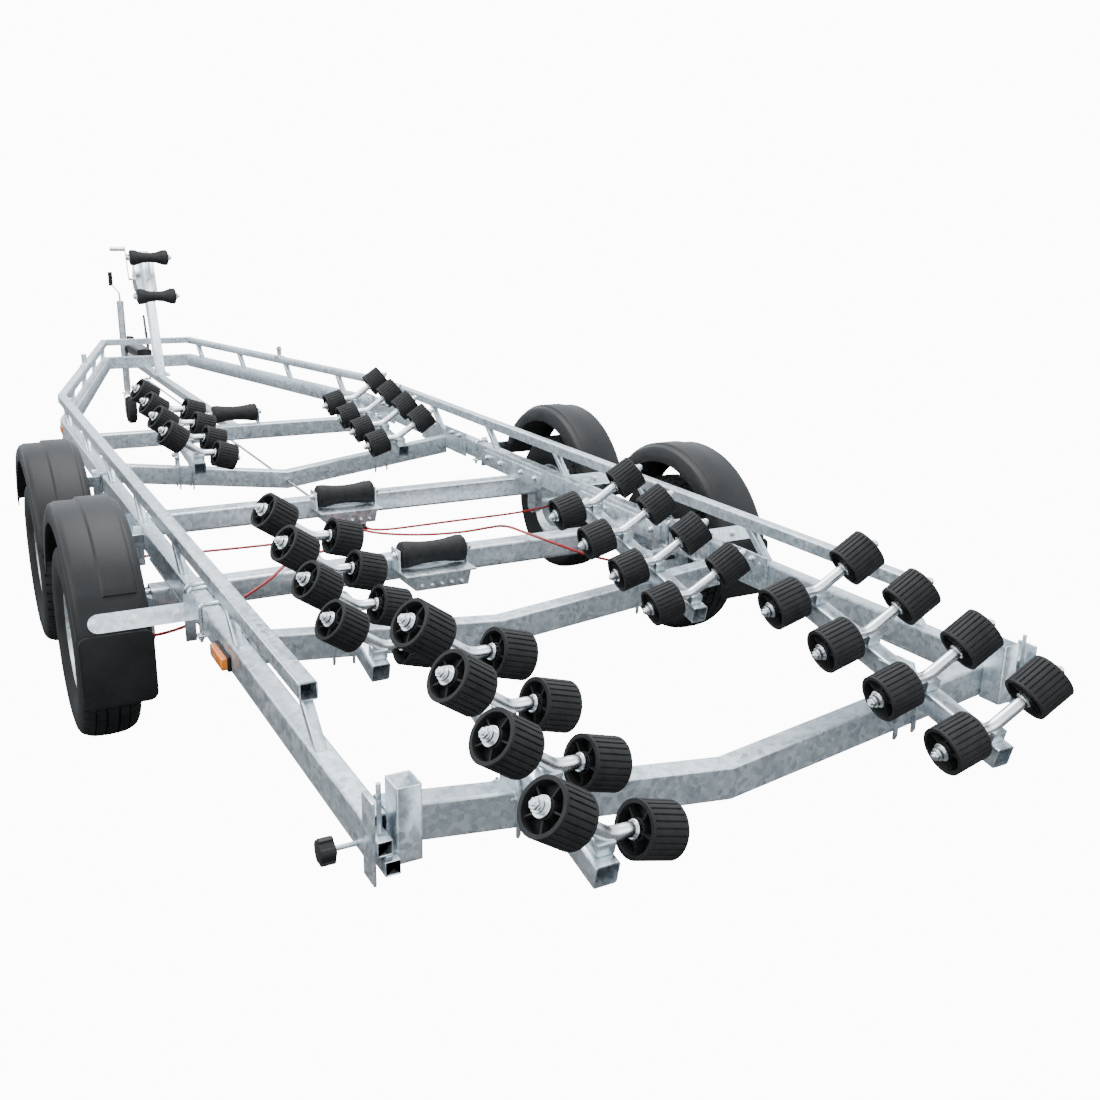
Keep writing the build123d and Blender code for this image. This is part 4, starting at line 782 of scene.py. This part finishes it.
def make_tyre():
    """A tyre on the Y axis, its middle at the origin."""
    points = [(-across, up) for across, up in outer_half] + outer_half[::-1]
    points += inner_half + [(-across, up) for across, up in inner_half[::-1]]
    mesh = bpy.data.meshes.new("tyre_section")
    count = len(points)
    mesh.from_pydata([(0.0, across, up) for across, up in points],
                     [(number, (number + 1) % count) for number in range(count)], [])
    tyre = add_object("tyre_model", mesh)
    work_on(tyre)
    edit_mode()
    bpy.ops.mesh.select_all(action="SELECT")
    bpy.ops.mesh.spin(steps=tyre_steps, angle=2 * pi, center=origin, axis=(0.0, 1.0, 0.0))
    bpy.ops.mesh.select_all(action="SELECT")
    bpy.ops.mesh.remove_doubles(threshold=0.00005)
    bpy.ops.mesh.normals_make_consistent(inside=False)
    object_mode()

    def in_tread(middle, normal):
        step = sector(middle.x, middle.z, tyre_steps)
        across = abs(middle.y)
        inside = normal.dot(Vector((middle.x, 0.0, middle.z))) < 0
        if inside or hypot(middle.x, middle.z) < tread_from:
            return False
        if any(low < across < high for low, high in (inner_groove, outer_groove)):
            return True
        if across > outer_groove[1]:
            return step % shoulder_cut_steps == 0
        return across > inner_groove[1] and step % rib_cut_steps == rib_cut_steps // 2

    pick_faces(tyre, in_tread)
    extrude_scaled(groove_sunk, 1.0, groove_sunk)
    object_mode()
    return tyre


tyre_model = make_tyre()
print("tyre faces", len(tyre_model.data.polygons))
wheel_joints = {joint["child"]: Vector(joint["pos_m"]) for joint in frame["joints"]
                if joint["child"].startswith("wheel_")}
nut_circle = 0.070
nut_count = 5
disc_face = 0.033
for body, centre in wheel_joints.items():
    place = body.replace("wheel_", "")
    side = side_of(place)
    tyre = finished(f"tread_{place}", [placed(tyre_model, Matrix.Translation(centre))],
                    "tyre_rubber", body, 40.0)
    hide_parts(f"tyre_{place}")
    rows = []
    for number in range(nut_count):
        turn = 2 * pi * number / nut_count
        spot = Vector((nut_circle * cos(turn), side * disc_face, nut_circle * sin(turn)))
        rows.append((centre + spot, (0.0, side, 0.0)))
    bolts(f"wheel_nuts_{place}", rows, wheel_nut, body)
discard(tyre_model)

# %% [markdown]
# Four red cables work the brakes. Each leaves the abutment plate under the front axle and goes
# to the back of one wheel. It is one smooth curve with a round section, laid through the same
# route as in the CAD model.

# %% Brake cables
cable_radius = 0.005
# columns: metres ahead of the top rails' rear end, to the left, above the floor
cable_routes = {
    "front_left": [(2.120, 0.045, 0.341), (2.074, 0.045, 0.341), (2.036, 0.079, 0.341),
                   (2.024, 0.150, 0.340), (2.022, 0.285, 0.338), (2.032, 0.425, 0.336),
                   (2.046, 0.565, 0.335), (2.066, 0.695, 0.333), (2.108, 0.808, 0.327),
                   (2.163, 0.890, 0.316), (2.215, 0.938, 0.305), (2.215, 1.007, 0.305)],
    "front_right": [(2.120, -0.045, 0.341), (2.074, -0.045, 0.341), (2.036, -0.079, 0.341),
                    (2.026, -0.150, 0.341), (2.036, -0.285, 0.340), (2.044, -0.425, 0.339),
                    (2.052, -0.565, 0.337), (2.070, -0.695, 0.333), (2.110, -0.808, 0.326),
                    (2.163, -0.890, 0.315), (2.215, -0.938, 0.305), (2.215, -1.007, 0.305)],
    "rear_left": [(2.120, 0.015, 0.341), (2.070, 0.015, 0.341), (1.982, 0.052, 0.341),
                  (1.890, 0.132, 0.343), (1.805, 0.222, 0.352), (1.715, 0.312, 0.378),
                  (1.605, 0.382, 0.421), (1.500, 0.428, 0.456), (1.364, 0.487, 0.459),
                  (1.288, 0.575, 0.434), (1.264, 0.685, 0.388), (1.270, 0.795, 0.346),
                  (1.300, 0.888, 0.314), (1.330, 0.945, 0.305), (1.330, 1.007, 0.305)],
    "rear_right": [(2.120, -0.015, 0.341), (2.070, -0.015, 0.341), (1.990, -0.062, 0.341),
                   (1.915, -0.160, 0.342), (1.855, -0.265, 0.348), (1.762, -0.345, 0.374),
                   (1.648, -0.380, 0.415), (1.520, -0.382, 0.455), (1.382, -0.392, 0.460),
                   (1.290, -0.450, 0.442), (1.248, -0.548, 0.400), (1.244, -0.665, 0.358),
                   (1.258, -0.782, 0.326), (1.292, -0.882, 0.308), (1.330, -0.942, 0.305),
                   (1.330, -1.007, 0.305)],
}
for name, route in cable_routes.items():
    line, spline = round_line("cable_" + name, cable_radius, "NURBS", 4, 8)
    spline.points.add(len(route) - 1)
    for point, (station, left, above) in zip(spline.points, route):
        point.co = (rail_low.x + station, left, above, 1.0)
    spline.order_u = 3
    spline.use_endpoint_u = True
    cable = add_object("cable_" + name, line)
    cable.data.materials.append(finishes["red_cable"])
    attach(cable, "chassis")
    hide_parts("brake_cable_" + name)
print("four brake cables")

# %% [markdown]
# The mudguards are carried by flat straps with round ends, clamped to the lower rails by square
# U-bolts. A strap's outer end is rounded by bevelling its upright corner edges, and the U-bolt
# is a bent rod, made as a curve with a round section.

# %% U-bolts over the lower rails
low_rail_low, low_rail_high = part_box("lower_rails")
rail_width = 0.050
rod_radius = 0.005
rod_corner = 0.012
corner_pull = 0.55
leg_below = 0.022
clamp_size = (0.030, rail_width + 0.034, 0.006)
clamp_gap = 0.0002
ahead_of_wheel = 0.36
between_axles = 0.2
rear_stations = (0.90, 1.08)


def u_bolt(x, side):
    """A square U over a lower rail, with a clamp plate and a nut on each leg under it."""
    outer = side * (low_rail_high.y + rod_radius)
    inner = side * (low_rail_high.y - rail_width - rod_radius)
    top = low_rail_high.z + rod_radius
    foot = low_rail_low.z - leg_below
    ends = ((outer, foot), (outer, top), (inner, top), (inner, foot))
    points = [Vector((x, across, up)) for across, up in ends]
    stops = [(points[0],) * 3]
    for before, corner, after in zip(points, points[1:], points[2:]):
        entry = corner + (before - corner).normalized() * rod_corner
        leave = corner + (after - corner).normalized() * rod_corner
        stops.append((entry, entry, entry + (corner - entry) * corner_pull))
        stops.append((leave, leave + (corner - leave) * corner_pull, leave))
    stops.append((points[-1],) * 3)
    rod = bezier_tube("u_bolt", rod_radius, stops, 3, 12)
    clamp_top = low_rail_low.z - clamp_gap
    clamp_foot = clamp_top - clamp_size[2]
    clamp_middle = (x, (outer + inner) / 2, (clamp_top + clamp_foot) / 2)
    clamp = bevel_piece(block(clamp_size, clamp_middle), 0.001, 1)
    nuts = [placed(bolt_model, facing((x, leg, clamp_foot), (0.0, 0.0, -1.0), clamp_nut))
            for leg in (outer, inner)]
    return [rod, clamp, *nuts]


clamp_parts = []
for body, centre in wheel_joints.items():
    for x in (centre.x - ahead_of_wheel, centre.x + ahead_of_wheel):
        if abs(x - middle_of("mudguard_straps").x) >= between_axles:
            clamp_parts += u_bolt(x, side_of(body))
for station in rear_stations:
    for side in both_sides:
        clamp_parts += u_bolt(rail_low.x + station, side)
finished("u_bolts", clamp_parts, "zinc_plated_steel", angle=40.0)

# %% [markdown]
# The V members and the front cross member end on mounting plates inside the lower rails. These
# plates have two rows of holes, so that the members can be set to suit a hull. A Boolean with
# one joined set of pins cuts all the holes at once.

# %% Perforated mounting plates
plate_length = 0.230
plate_height = 0.110
plate_thickness = 0.006
hole_radius = 0.0065
hole_pitch = 0.040
hole_row = 0.034
plate_stations = (0.80, 3.03, 3.95)
plate_ahead = 0.150
plate_above = 0.045
plate_gap = 0.0003


def make_mount_plate():
    """An upright plate in the XZ plane with two rows of holes."""
    plate = block((plate_length, plate_thickness, plate_height))
    cutter = joined([cylinder(hole_radius, plate_thickness * 3, (number * hole_pitch, 0.0, row),
                              (pi / 2, 0.0, 0.0), 16)
                     for row in (-hole_row, hole_row) for number in range(-2, 3)])
    work_on(plate)
    cut = plate.modifiers.new("holes", "BOOLEAN")
    cut.operation = "DIFFERENCE"
    cut.object = cutter
    cut.solver = "EXACT"
    bpy.ops.object.modifier_apply(modifier=cut.name)
    discard(cutter)
    return bevel_piece(plate, 0.0008, 1, 60.0)


plate_model = make_mount_plate()
plate_parts = []
plate_bolts = []
inner_face = low_rail_high.y - rail_width
plate_left = inner_face - plate_thickness / 2 - plate_gap
for station in plate_stations:
    for side in both_sides:
        for ahead in (-plate_ahead, plate_ahead):
            middle = Vector((rail_low.x + station + ahead, side * plate_left,
                             low_rail_low.z + plate_above))
            plate_parts.append(placed(plate_model, Matrix.Translation(middle)))
            for shift in (-hole_pitch, hole_pitch):
                spot = middle + Vector((shift, -side * plate_thickness / 2, hole_row))
                plate_bolts.append((spot, (0.0, -side, 0.0)))
finished("mounting_plates", plate_parts, "galvanised_steel", angle=30.0)
bolts("mounting_plate_bolts", plate_bolts, frame_nut)
discard(plate_model)

# %% [markdown]
# Bolts tell the eye how large a machine is. Their places come from the boxes and the joints of
# what they hold: the axle plates, the swing brackets, the roller brackets, the straps, the
# overrun housing and the post's foot.

# %% Bolts on the chassis
axle_bolts_ahead = (-0.23, -0.10, 0.10, 0.23)
axle_bolt_above = 0.032
flange_thickness = 0.008
rows = [((centre.x + ahead, side_of(body) * (inner_face - flange_thickness),
          low_rail_low.z + axle_bolt_above), (0.0, -side_of(body), 0.0))
        for body, centre in wheel_joints.items() for ahead in axle_bolts_ahead]
bolts("axle_plate_bolts", rows, axle_nut)

# columns: metres ahead of a beam's pin and above it
cheek_bolts = ((0.0, 0.0), (-0.034, -0.062), (0.034, -0.062))
cheek_out = beam_size / 2 + 0.0065
pins = [Vector(joint["pos_m"]) for joint in frame["joints"] if joint["name"].startswith("swing_beam_")]
rows = [(pin + Vector((ahead, cheek * cheek_out, above)), (0.0, cheek, 0.0))
        for pin in pins for cheek in (-1.0, 1.0) for ahead, above in cheek_bolts]
bolts("swing_bracket_bolts", rows, frame_nut)

past_roller_end = 0.011


def pin_bolts(name, nodes, half_length):
    """A nut outside the bracket at both ends of the pin of each roller."""
    rows = [((middle.x, side * (half_length + past_roller_end), middle.z), (0.0, side, 0.0))
            for middle in map(middle_of, nodes) for side in both_sides]
    bolts(name, rows, pin_nut)


pin_bolts("keel_roller_bolts", ("keel_roller_front", "keel_roller_mid", "keel_roller_rear"), 0.115)

tray_behind_roller = 0.090
tray_bolt_pitch = 0.036
tray_bolt_height = 0.370
rows = [((middle.x - tray_behind_roller, number * tray_bolt_pitch, tray_bolt_height), (-1.0, 0.0, 0.0))
        for middle in map(middle_of, ("keel_roller_mid", "keel_roller_rear")) for number in range(-2, 3)]
bolts("keel_box_bolts", rows, tray_nut)

pin_bolts("bow_roller_bolts", ("bow_roller_upper", "bow_roller_lower"), 0.120)

strap_angle = radians(25.4)
guard_radius = 0.427
strap_lift = 0.005
guard_shift = 0.028
guard_middle = 1.064
guard_bolt_out = 0.052
rail_bolt_left = 0.895
rows = []
for body, centre in wheel_joints.items():
    shift = guard_shift if "front" in body else -guard_shift
    for end in (-1.0, 1.0):
        normal = Vector((end * cos(strap_angle), 0.0, sin(strap_angle)))
        foot = centre + Vector((shift, 0.0, 0.0)) + normal * (guard_radius + strap_lift)
        for across in (guard_middle + guard_bolt_out, guard_middle - guard_bolt_out, rail_bolt_left):
            rows.append((Vector((foot.x, side_of(body) * across, foot.z)), normal))
bolts("strap_bolts", rows, frame_nut)

housing_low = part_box("overrun_housing")[0]
housing_bolt_pitch = 0.075
rows = [((housing_low.x + 0.05 + number * housing_bolt_pitch, side * 0.050, 0.480), (0.0, side, 0.0))
        for side in both_sides for number in range(5)]
bolts("housing_bolts", rows, frame_nut)

keel_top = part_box("keel_beam")[1].z
post_foot_station = 5.950
foot_thickness = 0.008
rows = [((rail_low.x + post_foot_station + ahead, side * 0.036, keel_top + foot_thickness),
         (0.0, 0.0, 1.0)) for ahead in (-0.058, 0.058) for side in both_sides]
bolts("post_foot_bolts", rows, frame_nut)

# %% [markdown]
# The lamp board slides into two sockets behind each lower rail and is locked by a black star
# knob. The knob is a short drum with five lobes, made by scaling every other pair of side faces
# outwards. The crank of the jockey wheel gets a ribbed grip, a sleeve cut into rings of which
# every other one is widened.

# %% Knobs and the grip
knob_radius = 0.0192
knob_length = 0.026
knob_behind = 0.330
knob_out = 0.045
knob_above = 0.015
knob_scale = 1.12


def make_knob():
    """A star knob with five lobes, along Z from the origin."""
    sides = 20
    knob = cylinder(knob_radius, knob_length, (0.0, 0.0, knob_length / 2), sides=sides)

    def in_lobe(middle, normal):
        return abs(normal.z) < 0.1 and sector(middle.x, middle.y, sides) % 4 < 2

    pick_faces(knob, in_lobe)
    extrude_scaled(1.22, 1.22, 0.96)
    object_mode()
    return bevel_piece(knob, 0.003, 3)


knob_model = make_knob()
knobs = []
for side in both_sides:
    spot = Vector((rail_low.x - knob_behind, side * (low_rail_high.y + knob_out),
                   low_rail_low.z + knob_above))
    knobs.append(placed(knob_model, facing(spot, (0.0, side, 0.0), knob_scale)))
finished("star_knobs", knobs, "black_plastic", angle=40.0)
discard(knob_model)


def grip(name, start, end, radius, body):
    """A ribbed grip over a crank, between two points."""
    length = (end - start).length
    bands = 14
    sleeve = cylinder(radius, length, sides=28)
    for number in range(1, bands):
        cut_across(sleeve, length * (number / bands - 0.5))

    def in_ring(middle, normal):
        return abs(normal.z) < 0.1 and int((middle.z / length + 0.5) * bands) % 2 == 1

    pick_faces(sleeve, in_ring)
    extrude_scaled(1.08, 1.08, 1.0)
    object_mode()
    bevel_piece(sleeve, radius * 0.06, 1)
    sleeve.data.transform(facing((start + end) / 2, end - start))
    return finished(name, [sleeve], "black_plastic", body, 40.0)


mast_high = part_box("jockey_mast")[1]
grip_inset = 0.014
grip_length = 0.0976
grip_top = Vector((mast_high.x - grip_inset, mast_high.y - grip_inset, mast_high.z + 0.0006))
grip("jockey_crank_grip", grip_top - Vector((0.0, 0.0, grip_length)), grip_top, 0.0146, "jockey_mast")

# %% [markdown]
# The side lamp is a lens in a black tray, which lies against the outer face of the lower rail.

# %% Trays of the side lamps


def side_blocks(name, size, x, z, finish):
    """A bevelled block against the outer face of each lower rail."""
    parts = [bevel_piece(block(size, (x, side * (low_rail_high.y + size[1] / 2), z)), 0.002)
             for side in both_sides]
    finished(name, parts, finish)


lamp_middle = middle_of("side_lamps")
side_blocks("lamp_trays", (0.134, 0.009, 0.040), lamp_middle.x, lamp_middle.z, "black_plastic")
discard(bolt_model)

# %% [markdown]
# Three kinds of small fittings are left. A clip sits on each nose rail: a saddle folded over the
# tube, an upright tab and a pin through it. A reflector faces outwards where the nose begins, and
# a rubber boot seals both ends of each brake cable.

# %% Clips, reflectors and cable boots
rail_size = 0.040
nose_start = 4.0
nose_run = 2.4
straight_middle = 0.830
nose_middle = 0.280
clip_station = 5.10
clip_plate = 0.003
clip_length = 0.045
skirt_height = 0.026
tab_size = (clip_plate, 0.030, 0.062)
clip_pin_height = 0.046
reflector_back = 0.06
reflector_above = 0.040
boot_length = 0.042
boot_radius = 0.0085


def make_clip():
    """A saddle over a rail with a tab and a pin, the rail's top at the origin."""
    wide = rail_size + 2 * clip_plate
    parts = [block((clip_length, wide, clip_plate), (0.0, 0.0, clip_plate / 2))]
    for edge in (-1, 1):
        skirt = (clip_length, clip_plate, skirt_height)
        parts.append(block(skirt, (0.0, edge * (wide - clip_plate) / 2, clip_plate - skirt_height / 2)))
    parts.append(block(tab_size, (0.0, 0.0, tab_size[2] / 2)))
    across = (0.0, pi / 2, 0.0)
    parts.append(cylinder(0.0045, 0.060, (0.0, 0.0, clip_pin_height), across, 16))
    parts.append(cylinder(0.0085, 0.008, (0.018, 0.0, clip_pin_height), across, 20))
    return bevel_piece(joined(parts), 0.0008, 1)


clip_model = make_clip()
clips = []
nose_turn = atan2(straight_middle - nose_middle, nose_run)
clip_share = (clip_station - nose_start) / nose_run
clip_left = straight_middle + (nose_middle - straight_middle) * clip_share
for side in both_sides:
    seat = Matrix.Translation((rail_low.x + clip_station, side * clip_left, rail_high.z))
    clips.append(placed(clip_model, seat @ Matrix.Rotation(-side * nose_turn, 4, "Z")))
finished("rail_clips", clips, "zinc_plated_steel")
discard(clip_model)

side_blocks("side_reflectors", (0.056, 0.008, 0.030), rail_low.x + nose_start - reflector_back,
            low_rail_low.z + reflector_above, "amber_lens")

boot_model = bevel_piece(cylinder(boot_radius, boot_length, sides=20), 0.0015)
boots = []
for route in cable_routes.values():
    for near, far in ((route[0], route[1]), (route[-1], route[-2])):
        start = Vector(near) + Vector((rail_low.x, 0.0, 0.0))
        toward = (Vector(far) - Vector(near)).normalized()
        boots.append(placed(boot_model, facing(start + toward * boot_length / 2, toward)))
discard(boot_model)
finished("cable_boots", boots, "black_rubber")

# %% [markdown]
# The photograph is cut out on white, but the steel still mirrors the dark yard that it stood on:
# its upper faces are bright and its upright faces are grey. The Light Path node makes that
# possible. The camera sees a white floor and a white world, and every other ray meets a dark
# floor and a pale blue sky.

# %% Floor, light and world


def white_for_camera(tree, other, output):
    """White where the camera looks straight at it, and the other shader for every other ray."""
    rays = tree.nodes.new("ShaderNodeLightPath")
    white = tree.nodes.new("ShaderNodeEmission")
    white.inputs["Color"].default_value = grey(1.0)
    white.inputs["Strength"].default_value = paper_white
    mix = tree.nodes.new("ShaderNodeMixShader")
    tree.links.new(rays.outputs["Is Camera Ray"], mix.inputs[0])
    tree.links.new(other, mix.inputs[1])
    tree.links.new(white.outputs[0], mix.inputs[2])
    tree.links.new(mix.outputs[0], output)


floor_size = 60.0
yard_grey = 0.07
paper_white = 12.0
sky_blue = (0.86, 0.93, 1.0, 1.0)
sky_strength = 2.3
bpy.ops.mesh.primitive_plane_add(size=floor_size, location=origin)
floor = bpy.context.object
floor.name = "floor"
floor_finish = Finish("floor", roughness=0.9)
floor_finish.set("Base Color", grey(yard_grey))
white_for_camera(floor_finish.tree, floor_finish.shader.outputs[0],
                 floor_finish.tree.nodes["Material Output"].inputs["Surface"])
floor.data.materials.append(floor_finish.material)
world = bpy.data.worlds.new("studio")
bpy.context.scene.world = world
world.use_nodes = True
sky = world.node_tree.nodes["Background"]
sky.inputs["Color"].default_value = sky_blue
sky.inputs["Strength"].default_value = sky_strength
white_for_camera(world.node_tree, sky.outputs[0],
                 world.node_tree.nodes["World Output"].inputs["Surface"])
middle = (cad_low + cad_high) / 2
# columns: name, place, size in metres, power in watts
lamp_table = [("overhead_lamp", (middle.x, 0.0, 7.0), 6.0, 800.0),
              ("left_lamp", (middle.x - 2.0, 7.0, 4.0), 4.0, 260.0),
              ("rear_lamp", (cad_low.x - 4.0, -2.0, 3.5), 3.0, 60.0)]
for name, place, size, power in lamp_table:
    bpy.ops.object.light_add(type="AREA", location=place)
    lamp = bpy.context.object
    lamp.name = name
    lamp.data.size = size
    lamp.data.energy = power
    lamp.rotation_euler = (middle - Vector(place)).to_track_quat("-Z", "Y").to_euler()

# %% [markdown]
# The photograph was taken from behind the left corner at about eye height. Its lens and its
# place were worked out from the straight edges of the frame. The place is kept relative to the
# rear end of the top rails, so that it follows the frame if a size changes.

# %% Camera
image_width = 1100
focal_pixels = 1144.2
camera_behind = 2.103
camera_left = 1.449
camera_above_rail = 0.927
camera_heading = radians(29.14)
camera_pitch = radians(16.60)
camera_roll = radians(1.15)
ahead = Vector((cos(camera_heading), -sin(camera_heading), 0.0))
level_right = Vector((-sin(camera_heading), -cos(camera_heading), 0.0))
up = Vector((0.0, 0.0, 1.0))
tilted_up = cos(camera_pitch) * up + sin(camera_pitch) * ahead
looking = cos(camera_pitch) * ahead - sin(camera_pitch) * up
right = cos(camera_roll) * level_right + sin(camera_roll) * tilted_up
camera_up = cos(camera_roll) * tilted_up - sin(camera_roll) * level_right
bpy.ops.object.camera_add()
camera = bpy.context.object
camera.name = "photo_camera"
camera.data.sensor_width = 36.0
camera.data.lens = focal_pixels / image_width * camera.data.sensor_width
axes = Matrix((right, camera_up, -looking)).transposed().to_4x4()
axes.translation = (rail_low.x - camera_behind, camera_left, rail_high.z + camera_above_rail)
camera.matrix_world = axes
bpy.context.scene.camera = camera
print("camera", [round(v, 3) for v in axes.translation], "lens", round(camera.data.lens, 2))

# %% Import json
import json
